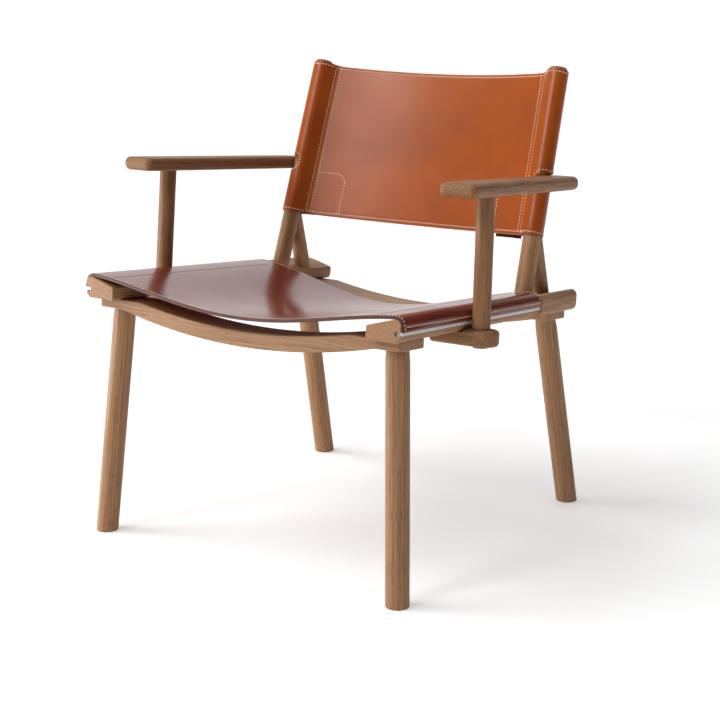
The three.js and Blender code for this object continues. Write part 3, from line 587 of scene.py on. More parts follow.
@dataclass(frozen=True)
class Stance:
    """How the chair stands, and the lines and faces that its pieces share, in millimetres and degrees."""

    seat_height: float = 373.0
    seat_front: float = -285.7
    seat_tilt: float = 4.6
    rail_toe: float = 1.5
    rail_spacing: float = 515.0
    rail_width: float = 55.0
    rail_inner_height: float = 19.5
    rail_outer_height: float = 35.0
    fit: float = 0.3
    seat_leather: float = 3.2
    leather_front: float = 2.0
    leather_depth: float = 397.5
    side_lean: float = 1.4
    post_radius: float = 14.0
    post_length: float = 363.0
    post_place: float = 414.0
    post_inset: float = 10.0
    post_lean: float = 14.3
    strut_place: float = 476.0
    strut_meets: float = 104.0
    arm_post_radius: float = 13.0
    arm_post_place: float = 185.0
    arm_post_gap: float = 0.5
    arm_height: float = 199.7
    arm_rise: float = 2.0
    back_foot: float = 97.0

    @property
    def half_rail(self) -> float:
        """Half of a rail's width."""
        return self.rail_width / 2

    @property
    def rail_slope(self) -> float:
        """Slope of a rail's top, in radians."""
        return math.atan2(self.rail_outer_height - self.rail_inner_height, self.rail_width)

    @property
    def block_face(self) -> float:
        """Outer face of a rail's rear block, flush with the leather in front of it."""
        return self.half_rail + self.fit + self.seat_leather

    @property
    def leather_rear(self) -> float:
        """Rear edge of the seat leather along the rails."""
        return self.leather_front + self.leather_depth

    def seat(self) -> Matrix:
        """Matrix from seat coordinates, in millimetres along the rails, to the frame's metres."""
        origin = Matrix.Translation((0.0, self.seat_front * MM, self.seat_height * MM))
        return origin @ Matrix.Rotation(math.radians(-self.seat_tilt), 4, "X") @ Matrix.Scale(MM, 4)

    def rail(self, side: Side) -> Matrix:
        """Matrix from a rail's coordinates to seat coordinates."""
        place = Matrix.Translation((side.value * self.rail_spacing / 2, 0.0, 0.0))
        return place @ Matrix.Rotation(side.value * math.radians(self.rail_toe), 4, "Z")

    def on_rail(self, side: Side, out: float, along: float, up: float) -> Vector:
        """Point in seat coordinates from its place on a rail."""
        return self.rail(side) @ Vector((side.value * out, along, up))

    def rail_top(self, out: float) -> float:
        """Height of a rail's sloping top at a distance outwards."""
        return self.rail_inner_height + (out + self.half_rail) * math.tan(self.rail_slope)

    def rail_normal(self, side: Side) -> Vector:
        """Upward normal of a rail's sloping top."""
        normal = Vector((-side.value * math.sin(self.rail_slope), 0.0, math.cos(self.rail_slope)))
        return self.rail(side).to_3x3() @ normal

    def standing(self, side: Side, origin: Vector, lean_in: float, lean_back: float) -> Axis:
        """Line that stands on a rail and leans inwards and backwards by angles in degrees."""
        lean = Vector((-side.value * math.tan(math.radians(lean_in)), math.tan(math.radians(lean_back)), 1.0))
        return Axis(origin, self.rail(side).to_3x3() @ lean.normalized())

    def post(self, side: Side) -> Axis:
        """Line of a back post from its foot on the rail."""
        foot = self.on_rail(side, -self.post_inset, self.post_place, self.rail_top(-self.post_inset))
        return self.standing(side, foot, self.side_lean, self.post_lean)

    def strut(self, side: Side) -> Axis:
        """Line of a strut from its foot on the rail to the back post."""
        foot = self.on_rail(side, -self.post_inset, self.strut_place, self.rail_top(-self.post_inset))
        return Axis(foot, (self.post(side).at(self.strut_meets) - foot).normalized())

    def arm_out(self) -> float:
        """Distance of an arm post's foot from its rail's centre line."""
        lean = self.rail_outer_height * math.tan(math.radians(self.side_lean))
        return self.block_face + self.arm_post_gap + self.arm_post_radius + lean

    def arm_post(self, side: Side) -> Axis:
        """Line of an arm post from the top of its outrigger."""
        return self.standing(side, self.on_rail(side, self.arm_out(), self.arm_post_place, 0.0), self.side_lean, 0.0)


@dataclass
class Joinery:
    """Bench that dresses oak pieces: grain, shading and their place on the body, in their CAD nodes' stead."""

    stance: Stance
    finishes: Finishes
    draw: random.Random
    pith_near: float = 45.0
    pith_far: float = 90.0
    log_length: float = 9000.0

    def rod(self, axis: Axis, radius: float, start: float, end: float, sides: int = 64) -> Piece:
        """Make a plain rod to cut with, on a line in seat coordinates."""
        return place_object("rod", turned_rod(radius, start, end, sides), self.stance.seat() @ axis.lathe())

    def dress(self, piece: Piece, board: Matrix, oak: Material | None = None) -> None:
        """Give a piece its grain and material and put it in its node's place.

        Args:
            piece: Closed mesh.
            board: Matrix from the board's millimetres, with z along the grain, to the frame.
            oak: Its material, if not the usual oak.
        """
        shade(piece)
        turn = self.draw.uniform(0.0, 2 * math.pi)
        reach = self.draw.uniform(self.pith_near, self.pith_far)
        pith = Vector((reach * math.cos(turn), reach * math.sin(turn), self.draw.uniform(0.0, self.log_length)))
        to_board = board.inverted()
        places = [to_board @ v.co + pith for v in piece.data.vertices]
        grain = piece.data.attributes.new(GRAIN, "FLOAT_VECTOR", "POINT")
        grain.data.foreach_set("vector", [value for point in places for value in point])
        piece.data.materials.clear()
        piece.data.materials.append(oak or self.finishes.oak)
        stand_in(piece)


@dataclass
class Underframe:
    """Side rails, bowed cross rails and turned legs."""

    joinery: Joinery
    rail_lead: float = 1.0
    rail_length: float = 534.0
    nose_radius: float = 9.5
    edge_radius: float = 3.0
    front_edge: float = 1.2
    block_radius: float = 10.0
    end_radius: float = 18.0
    groove_height: float = 13.0
    groove_depth: float = 5.5
    groove_radius: float = 4.0
    slot_height: float = 5.4
    cross_depth: float = 60.0
    pad_thickness: float = 14.5
    bow_thickness: float = 23.0
    bow_radius: float = 1000.0
    bow_drop: float = 27.0
    front_overhang: float = 17.0
    rear_overhang: float = 12.5
    cross_edge: float = 2.2
    leg_radius: float = 17.0
    neck_radius: float = 15.8
    neck_length: float = 18.0
    leg_inset: float = 6.0
    foot_edge: float = 1.0
    front_place: float = 48.5
    front_rake: float = 0.9
    front_splay: float = 3.8
    rear_place: float = 489.0
    rear_rake: float = -17.2
    rear_splay: float = 2.5

    def rail_section(self, face: float, radius: float, start: float, end: float, side: Side) -> Shape:
        """Make a length of rail with a sloping top and rounded long edges, in the rail's coordinates.

        Args:
            face: Distance of the outer face from the centre line.
            radius: Radius of the outer face's edges.
            start: Front end along the rail.
            end: Rear end along the rail.
            side: Side of the chair.

        Returns:
            The closed shape.
        """
        stance = self.joinery.stance
        half = stance.half_rail
        corners = [(-half, 0.0, self.edge_radius), (face, 0.0, radius), (face, stance.rail_top(face), radius),
                   (-half, stance.rail_inner_height, self.edge_radius)]
        bm = bmesh.new()
        points = [bm.verts.new((side.value * out, start, up)) for out, up, _ in corners]
        bm.faces.new(points)
        places = [point.co.copy() for point in points]
        for i, (_, _, wanted) in enumerate(corners):
            between = (places[i - 1] - places[i]).angle(places[(i + 1) % 4] - places[i])
            round_corner(bm, points[i], wanted / math.tan(between / 2), 10)
        draw_out(bm, (0.0, end - start, 0.0))
        return bm

    def keyhole(self, side: Side, grow: float, face: float, start: float, end: float) -> Shape:
        """Make a bar of the keyhole groove's section, in the rail's coordinates.

        Args:
            side: Side of the chair.
            grow: Clearance added all round.
            face: Distance of the slot's outer end from the centre line.
            start: Front end along the rail.
            end: Rear end along the rail.

        Returns:
            The closed shape.
        """
        radius = self.groove_radius + grow
        half = self.slot_height / 2 + grow
        middle = Vector((side.value * (self.joinery.stance.half_rail - self.groove_depth), start, self.groove_height))
        mouth = math.asin(half / radius)
        bm = bmesh.new()
        first = bm.verts.new(middle + Vector((side.value * radius * math.cos(mouth), 0.0, half)))
        bmesh.ops.spin(bm, geom=[first], cent=middle, axis=(0.0, -side.value, 0.0), dvec=(0, 0, 0),
                       angle=2 * (math.pi - mouth), steps=24, use_merge=False, use_duplicate=False)
        last = min((v for v in bm.verts if len(v.link_edges) == 1 and v is not first), key=lambda v: v.co.z)
        upper, lower = (bm.verts.new((side.value * face, start, self.groove_height + h)) for h in (half, -half))
        for pair in ((first, upper), (upper, lower), (lower, last)):
            bm.edges.new(pair)
        bmesh.ops.contextual_create(bm, geom=bm.edges[:])
        draw_out(bm, (0.0, end - start, 0.0))
        return bm

    def side_rail(self, side: Side) -> None:
        """Make a side rail: nosed under the leather, a fuller block behind it, grooved along its outer face.

        Args:
            side: Side of the chair.
        """
        stance = self.joinery.stance
        place = stance.seat() @ stance.rail(side)
        shoulder = stance.leather_rear + stance.fit
        nosed = self.rail_section(stance.half_rail, self.nose_radius, -self.rail_lead, shoulder + PAST, side)
        front = [e for e in nosed.edges if all(abs(v.co.y + self.rail_lead) < 1e-5 for v in e.verts)]
        ease(nosed, front, self.front_edge, 2)
        rail = place_object(f"oak_side_rail_{side.tag}", nosed, place)
        radius = self.block_radius
        block = self.rail_section(stance.block_face, radius, shoulder, self.rail_length + PAST / 4, side)
        cut(rail, place_object("block", block, place), Cut.JOIN)
        # The rear end is rounded in plan, and over its top and under edges, by a plate a little larger than the rail.
        crest = stance.rail_top(stance.block_face - radius) + radius * (1 - 1 / math.cos(stance.rail_slope))
        face, inner, spare_corner = stance.block_face + stance.fit, -stance.half_rail - PAST, 12.0
        plan = [(inner, -2 * PAST, spare_corner), (face, -2 * PAST, spare_corner),
                (face, self.rail_length, self.end_radius), (inner, self.rail_length, spare_corner)]
        trim = plate(side, plan, -stance.fit, crest + stance.fit, radius, 12, 8)
        cut(rail, place_object("trim", trim, place), Cut.WITHIN)
        groove = self.keyhole(side, 0.0, stance.block_face + PAST / 4, -PAST / 2, shoulder)
        cut(rail, place_object("groove", groove, place), Cut.AWAY)
        self.joinery.dress(rail, place @ ALONG_RAIL)

    def cross_rail(self, name: str, along: float, overhang: float) -> None:
        """Make a cross rail: flat pads under the side rails and a bow between them.

        Args:
            name: "front" or "rear".
            along: Middle of the rail, along the side rails.
            overhang: Distance of its ends outside the side rails' centre lines.
        """
        stance = self.joinery.stance
        end = stance.on_rail(Side.RIGHT, overhang, along, 0.0).x
        top = -stance.fit
        pad_foot = top - self.pad_thickness
        lowest = pad_foot - self.bow_drop
        top_radius = self.bow_radius - self.bow_thickness
        bm = bmesh.new()
        bmesh.ops.create_grid(bm, x_segments=96, y_segments=1, size=1.0)
        for vert in bm.verts:
            x = vert.co.x * end
            under = min(pad_foot, lowest + self.bow_radius - math.sqrt(self.bow_radius ** 2 - x * x))
            over = min(top, lowest + self.bow_thickness + top_radius - math.sqrt(top_radius ** 2 - x * x))
            vert.co = (x, along - self.cross_depth / 2, over if vert.co.y > 0 else under)
        draw_out(bm, (0.0, self.cross_depth, 0.0))
        ease(bm, sharp_edges(bm), self.cross_edge, 4)
        rail = place_object(f"oak_{name}_cross_rail", bm, stance.seat())
        self.joinery.dress(rail, stance.seat() @ ACROSS_SEAT)

    def leg(self, side: Side, name: str, along: float, splay: float, rake: float) -> None:
        """Make a turned leg, fitted to its cross rail's pad and cut level with the floor.

        Args:
            side: Side of the chair.
            name: "front" or "rear".
            along: Place along the rail.
            splay: Lean inwards going up, in degrees.
            rake: Lean backwards going up, in degrees.
        """
        stance = self.joinery.stance
        under = -stance.fit - self.pad_thickness
        axis = stance.standing(side, stance.on_rail(side, -self.leg_inset, along, under), splay, rake)
        length = 1.3 * stance.seat_height  # past the floor, which cuts it
        bm = turned([(0.0, self.leg_radius), (self.neck_radius, self.leg_radius), (self.neck_radius, 0.0),
                     (self.leg_radius, -self.neck_length), (self.leg_radius, -length), (0.0, -length)])
        bmesh.ops.transform(bm, matrix=axis.lathe(), verts=bm.verts)
        slice_off(bm, (under - stance.fit) * UP, UP)
        to_seat = stance.seat().inverted()
        slice_off(bm, to_seat @ Vector(), (to_seat.to_3x3() @ -UP).normalized(), self.foot_edge)
        leg = place_object(f"oak_{name}_leg_{side.tag}", bm, stance.seat())
        self.joinery.dress(leg, stance.seat() @ axis.lathe())

    def build(self) -> None:
        """Make every piece of the underframe."""
        self.cross_rail("front", self.front_place, self.front_overhang)
        self.cross_rail("rear", self.rear_place, self.rear_overhang)
        for side in Side:
            self.side_rail(side)
            self.leg(side, "front", self.front_place, self.front_splay, self.front_rake)
            self.leg(side, "rear", self.rear_place, self.rear_splay, self.rear_rake)


@dataclass
class BackFrame:
    """Leaning back posts and the struts that brace them."""

    joinery: Joinery
    strut_radius: float = 13.0
    top_edge: float = 2.2

    def stand(self, name: str, side: Side, axis: Axis, bm: Shape) -> Piece:
        """Stand a turned shape on its line and fit its foot to the rail's slope.

        Args:
            name: Piece's name without its side.
            side: Side of the chair.
            axis: Line of the piece.
            bm: Shape in the lathe's coordinates.

        Returns:
            The piece, not yet dressed.
        """
        stance = self.joinery.stance
        bmesh.ops.transform(bm, matrix=axis.lathe(), verts=bm.verts)
        normal = stance.rail_normal(side)
        slice_off(bm, axis.origin + stance.fit * normal, -normal)
        return place_object(f"{name}_{side.tag}", bm, stance.seat())

    def post(self, side: Side) -> None:
        """Make a back post with a rounded top.

        Args:
            side: Side of the chair.
        """
        stance = self.joinery.stance
        axis = stance.post(side)
        bm = turned_rod(stance.post_radius, -2 * stance.post_radius, stance.post_length)
        ease(bm, [e for e in sharp_edges(bm) if e.verts[0].co.z > 0], self.top_edge, 4)
        post = self.stand("oak_back_post", side, axis, bm)
        self.joinery.dress(post, stance.seat() @ axis.lathe())

    def strut(self, side: Side) -> None:
        """Make a strut whose top is scribed to the back post and ends under the leather.

        Args:
            side: Side of the chair.
        """
        stance = self.joinery.stance
        axis = stance.strut(side)
        post = stance.post(side)
        length = (post.at(stance.strut_meets) - axis.origin).length
        bm = turned_rod(self.strut_radius, -2 * self.strut_radius, length)
        strut = self.stand("oak_rear_strut", side, axis, bm)
        tool = self.joinery.rod(post, stance.post_radius + stance.fit, -3 * PAST, stance.post_length)
        cut(strut, tool, Cut.AWAY)
        scribed = bmesh.new()
        scribed.from_mesh(strut.data)
        up = Vector((0.0, post.direction.y, post.direction.z)).normalized()
        to_frame = stance.seat()
        slice_off(scribed, to_frame @ (post.at(stance.back_foot) - stance.fit * up),
                  (to_frame.to_3x3() @ up).normalized())
        scribed.to_mesh(strut.data)
        scribed.free()
        self.joinery.dress(strut, to_frame @ axis.lathe())

    def build(self) -> None:
        """Make the posts and the struts."""
        for side in Side:
            self.post(side)
            self.strut(side)


@dataclass
class Arms:
    """Armrests, their posts and the outriggers that carry the posts."""

    joinery: Joinery
    arm_front_width: float = 60.0
    arm_rear_width: float = 47.0
    arm_inset: float = 35.4
    arm_thickness: float = 20.6
    arm_overhang: float = 77.0
    arm_tail: float = 22.3
    arm_corner: float = 11.0
    arm_tail_corner: float = 15.5
    arm_edge: float = 8.9
    arm_seat: float = 3.2
    outrigger_width: float = 46.0
    outrigger_thickness: float = 19.0
    outrigger_shelf: float = 4.2
    outrigger_reach: float = 26.5
    outrigger_edge: float = 6.0
    outrigger_corner: float = 6.6
    tenon_radius: float = 11.0
    tenon_standout: float = 3.0
    post_gap: float = 0.6
    post_edge: float = 0.8

    def arm_frame(self, side: Side) -> tuple[Matrix, float]:
        """Find how an armrest lies: on its arm post, with its inner side against the back post.

        Args:
            side: Side of the chair.

        Returns:
            Matrix from the armrest's coordinates to seat coordinates, and the distance to its rear end.
        """
        stance = self.joinery.stance
        start = stance.arm_post(side).at_height(stance.arm_height)
        reach = stance.post(side).at_height(stance.arm_height + stance.arm_rise) - start
        beside = self.arm_inset + stance.post_radius - self.arm_seat
        span = math.hypot(reach.x, reach.y)
        turn = math.atan2(-side.value * reach.x, reach.y) - math.asin(beside / span)
        along = math.sqrt(span ** 2 - beside ** 2)
        rise = Matrix.Rotation(math.atan2(stance.arm_rise, along), 4, "X")
        lie = Matrix.Translation(start) @ Matrix.Rotation(side.value * turn, 4, "Z") @ rise
        return lie, along + self.arm_tail

    def armrest(self, side: Side) -> None:
        """Make an armrest: a tapered board with round edges, hollowed to seat on the back post.

        Args:
            side: Side of the chair.
        """
        stance = self.joinery.stance
        lie, rear = self.arm_frame(side)
        inner, front = -self.arm_inset, -self.arm_overhang
        corners = [(inner, front, self.arm_corner), (inner + self.arm_front_width, front, self.arm_corner),
                   (inner + self.arm_rear_width, rear, self.arm_tail_corner), (inner, rear, self.arm_tail_corner)]
        bm = plate(side, corners, -self.arm_thickness / 2, self.arm_thickness / 2, self.arm_edge, 12, 10)
        arm = place_object(f"oak_armrest_{side.tag}", bm, stance.seat() @ lie)
        tool = self.joinery.rod(stance.post(side), stance.post_radius + stance.fit, 0.0, stance.post_length)
        cut(arm, tool, Cut.AWAY)
        self.joinery.dress(arm, stance.seat() @ lie @ ALONG_RAIL, self.joinery.finishes.handled_oak)

    def post(self, side: Side) -> None:
        """Make an arm post with its tenon right through the outrigger.

        Args:
            side: Side of the chair.
        """
        stance = self.joinery.stance
        axis = stance.arm_post(side)
        foot = -(stance.fit + self.outrigger_thickness + self.tenon_standout)
        radius = stance.arm_post_radius
        shelf = self.outrigger_shelf + self.post_gap
        bm = turned([(0.0, foot), (self.tenon_radius, foot), (self.tenon_radius, shelf), (radius, shelf),
                     (radius, stance.arm_height), (0.0, stance.arm_height)])
        low = [e for e in sharp_edges(bm) if e.verts[0].co.z < shelf + 1.0 and e.calc_length() > 0.5]
        ease(bm, [e for e in low if e.is_convex], self.post_edge, 2)
        bmesh.ops.transform(bm, matrix=axis.lathe(), verts=bm.verts)
        slice_off(bm, (stance.arm_height - self.arm_thickness / 2 - stance.fit / 3) * UP, UP)
        post = place_object(f"oak_arm_post_{side.tag}", bm, stance.seat())
        self.joinery.dress(post, stance.seat() @ axis.lathe(), self.joinery.finishes.handled_oak)

    def outrigger(self, side: Side) -> None:
        """Make an outrigger: a short bar let in under the rail, with a round outer end.

        Args:
            side: Side of the chair.
        """
        stance = self.joinery.stance
        half, place, inner = self.outrigger_width / 2, stance.arm_post_place, stance.half_rail
        end = stance.arm_out() + self.outrigger_reach
        corners = [(-inner, place - half, self.outrigger_corner), (end, place - half, half - stance.fit),
                   (end, place + half, half - stance.fit), (-inner, place + half, self.outrigger_corner)]
        bm = plate(side, corners, -stance.fit - self.outrigger_thickness, self.outrigger_shelf, self.outrigger_edge,
                   14, 5)
        lie = stance.seat() @ stance.rail(side)
        bar = place_object(f"oak_outrigger_{side.tag}", bm, lie)
        recess = bmesh.new()
        bmesh.ops.create_cube(recess, size=2.0)
        bmesh.ops.scale(recess, vec=(stance.rail_width, half + PAST / 4, PAST), verts=recess.verts)
        middle = (side.value * (inner + stance.fit - stance.rail_width), place, PAST - stance.fit)
        bmesh.ops.translate(recess, vec=middle, verts=recess.verts)
        cut(bar, place_object("recess", recess, lie), Cut.AWAY)
        tool = self.joinery.rod(stance.arm_post(side), self.tenon_radius + stance.fit, -4 * PAST, 2 * PAST)
        cut(bar, tool, Cut.AWAY)
        self.joinery.dress(bar, lie @ ACROSS_SEAT, self.joinery.finishes.handled_oak)

    def build(self) -> None:
        """Make both arms."""
        for side in Side:
            self.outrigger(side)
            self.post(side)
            self.armrest(side)


@dataclass
class Sewing:
    """Saddle stitches laid on a leather's surface."""

    pitch: float = 5.0
    stitch: float = 2.5
    radius: float = 0.95  # thicker than real thread, which is too fine to show
    flatness: float = 0.9
    proud: float = 0.12

    def __post_init__(self) -> None:
        """Start with no stitches and model the one that all of them repeat."""
        self.bm = bmesh.new()
        seed = bmesh.new()
        bmesh.ops.create_uvsphere(seed, u_segments=6, v_segments=4, radius=1.0)
        bmesh.ops.scale(seed, vec=(self.radius, self.radius * self.flatness, self.stitch / 2), verts=seed.verts)
        for face in seed.faces:
            face.smooth = True
        self.seed = bpy.data.meshes.new("stitch")
        seed.to_mesh(self.seed)
        seed.free()

    def sew(self, line: Line) -> None:
        """Lay a row of stitches along a line.

        Args:
            line: Points on the surface, close together, with the surface's normals there, in millimetres.
        """
        places, normals = (np.array([tuple(pair[k]) for pair in line]) for k in (0, 1))
        run = lengths(places)
        count = max(1, int(run[-1] / self.pitch))
        step = run[-1] / count

        def at(rows: np.ndarray, i: float) -> np.ndarray:
            """Place or normal after a number of steps."""
            return np.array([np.interp(i * step, run, rows[:, k]) for k in range(3)])

        for i in range(count):
            normal = Vector(at(normals, i + 0.5)).normalized()
            along = Vector(at(places, i + 0.8) - at(places, i + 0.2)).normalized()
            beside = along.cross(normal).normalized()
            turn = Matrix((beside, along.cross(beside), along)).transposed().to_4x4()
            copy = self.seed.copy()
            copy.transform(Matrix.Translation(Vector(at(places, i + 0.5)) + self.proud * self.radius * normal) @ turn)
            self.bm.from_mesh(copy)
            bpy.data.meshes.remove(copy)

    def finish(self, name: str, place: Matrix, thread: Material) -> Piece:
        """Make the stitches a piece.

        Args:
            name: Piece's name.
            place: Matrix from the leather's coordinates to the frame.
            thread: Material of the thread.

        Returns:
            The piece.
        """
        piece = place_object(name, self.bm, place)
        piece.data.materials.append(thread)
        bpy.data.meshes.remove(self.seed)
        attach(piece, BODY)
        log.info("%s: %d faces", name, len(piece.data.polygons))
        return piece


def spread(low: float, high: float, step: float, marks: Sequence[float] = (), near: float = 3.0,
           fine: float = 0.75) -> list[float]:
    """Spread grid lines between two ends, close together near marks.

    Args:
        low: First line.
        high: Last line.
        step: Usual distance between lines.
        marks: Places with close lines round them.
        near: How far the close lines go from a mark.
        fine: Distance between close lines.

    Returns:
        The lines in order.
    """
    lines = set(np.linspace(low, high, max(2, round((high - low) / step) + 1)))
    for mark in marks:
        lines = {x for x in lines if abs(x - mark) > near + fine or x in (low, high)}
        lines |= {mark + d for d in np.arange(-near, near + fine / 2, fine) if low < mark + d < high}
    kept: list[float] = []
    for x in sorted(lines):
        if not kept or x - kept[-1] > 0.6 * fine:
            kept.append(float(x))
    kept[-1] = high
    return kept


def trace(spots: Sequence[Spot], step: float = 1.0) -> list[Spot]:
    """Fill in a line of flat points.

    Args:
        spots: Corners of the line.
        step: Distance between points.

    Returns:
        Close points from the first corner to the last.
    """
    dense = [spots[0]]
    for (s0, t0), (s1, t1) in zip(spots, spots[1:]):
        count = max(1, round(math.hypot(s1 - s0, t1 - t0) / step))
        dense += [(s0 + (s1 - s0) * i / count, t0 + (t1 - t0) * i / count) for i in range(1, count + 1)]
    return dense


def hide(name: str, across: Sequence[float], along: Sequence[float], surface: Surface, thickness: float,
         place: Matrix, face: Material, edge: Material, folded: Layer | None = None) -> Piece:
    """Make a leather of even thickness from a flat grid bent over its surface.

    Args:
        name: Piece's name.
        across: Grid lines across the flat leather.
        along: Grid lines along it.
        surface: Place of a flat point, with a distance off the leather's middle layer.
        thickness: Thickness.
        place: Matrix from the leather's coordinates to the frame.
        face: Material of both faces.
        edge: Material of the cut edges.
        folded: Thickness added underneath at a flat point, where the leather is folded.

    Returns:
        The piece, with its flat places as a UV map in metres.
    """
    bm = bmesh.new()
    columns, rows = len(across) - 1, len(along) - 1
    bmesh.ops.create_grid(bm, x_segments=columns, y_segments=rows, size=0.5)
    uv = bm.loops.layers.uv.new("flat")
    flat = {vert: (across[round((vert.co.x + 0.5) * columns)], along[round((vert.co.y + 0.5) * rows)])
            for vert in bm.verts}
    for item in bm.faces:
        for loop in item.loops:
            loop[uv].uv = Vector(flat[loop.vert]) * MM
    for vert, (s, t) in flat.items():
        vert.co = surface(s, t, 0.0)
    bm.normal_update()
    piece = place_object(name, bm, place)
    piece.data.materials.append(face)
    piece.data.materials.append(edge)
    shell = piece.modifiers.new("thickness", "SOLIDIFY")
    shell.thickness = thickness * MM
    shell.offset = 0.0
    shell.use_even_offset = True
    shell.material_offset_rim = 1
    settle(piece)
    if folded:
        upper, lower = piece.data.vertices[:len(flat)], piece.data.vertices[len(flat):2 * len(flat)]
        for above, below, (s, t) in zip(upper, lower, flat.values()):
            below.co += (below.co - above.co).normalized() * folded(s, t) * MM
    return piece


def soften(piece: Piece, radius: float) -> None:
    """Round a leather's cut edges and smooth its faces.

    Args:
        piece: Leather with its thickness.
        radius: Radius of the edges.
    """
    bm = bmesh.new()
    bm.from_mesh(piece.data)
    bmesh.ops.remove_doubles(bm, verts=bm.verts, dist=1e-6)
    bmesh.ops.recalc_face_normals(bm, faces=bm.faces)
    ease(bm, sharp_edges(bm, 50.0), radius * MM, 2)
    for item in bm.faces:
        item.smooth = True
    bm.to_mesh(piece.data)
    bm.free()


class Sling(ABC):
    """Leather bent over the frame. A flat point is s across it from its middle and t along it, in millimetres."""

    thickness: float
    stitch_dip: float
    run: np.ndarray
    xs: np.ndarray
    depths: np.ndarray
    stitch_reach: float = 1.1  # how far a row of stitches draws the leather in
    normal_step: float = 0.4

    @abstractmethod
    def middle(self, s: float, t: float) -> Vector:
        """Place of a flat point on the leather's smooth middle layer."""

    @abstractmethod
    def rows(self, s: float, t: float) -> list[float]:
        """Distances of a flat point from the rows of stitches that draw the leather in."""

    @property
    def half_width(self) -> float:
        """Half of the flat leather's width."""
        return float(self.run[-1])

    def section(self, s: float) -> tuple[float, float]:
        """Place of a flat point on the leather's section: across, and up or behind."""
        x, depth = (float(np.interp(abs(s), self.run, column)) for column in (self.xs, self.depths))
        return math.copysign(1.0, s) * x, depth

    def normal(self, s: float, t: float) -> Vector:
        """Normal of the leather's outer face at a flat point.

        Args:
            s: Place across the flat leather.
            t: Place along it.

        Returns:
            The normal.
        """
        step = self.normal_step
        over = self.middle(s + step, t) - self.middle(s - step, t)
        ahead = self.middle(s, t + step) - self.middle(s, t - step)
        return over.cross(ahead).normalized()

    def surface(self, s: float, t: float, off: float) -> Vector:
        """Place of a flat point at a distance off the middle layer, drawn in along the stitches."""
        dip = self.stitch_dip * max(math.exp(-(row / self.stitch_reach) ** 2) for row in self.rows(s, t))
        return self.middle(s, t) + (off - dip) * self.normal(s, t)

    def line(self, spots: Sequence[Spot]) -> Line:
        """Lay a line with these corners on the leather's outer face, as close points with normals."""
        return [(self.surface(s, t, self.thickness / 2), self.normal(s, t)) for s, t in trace(spots)]


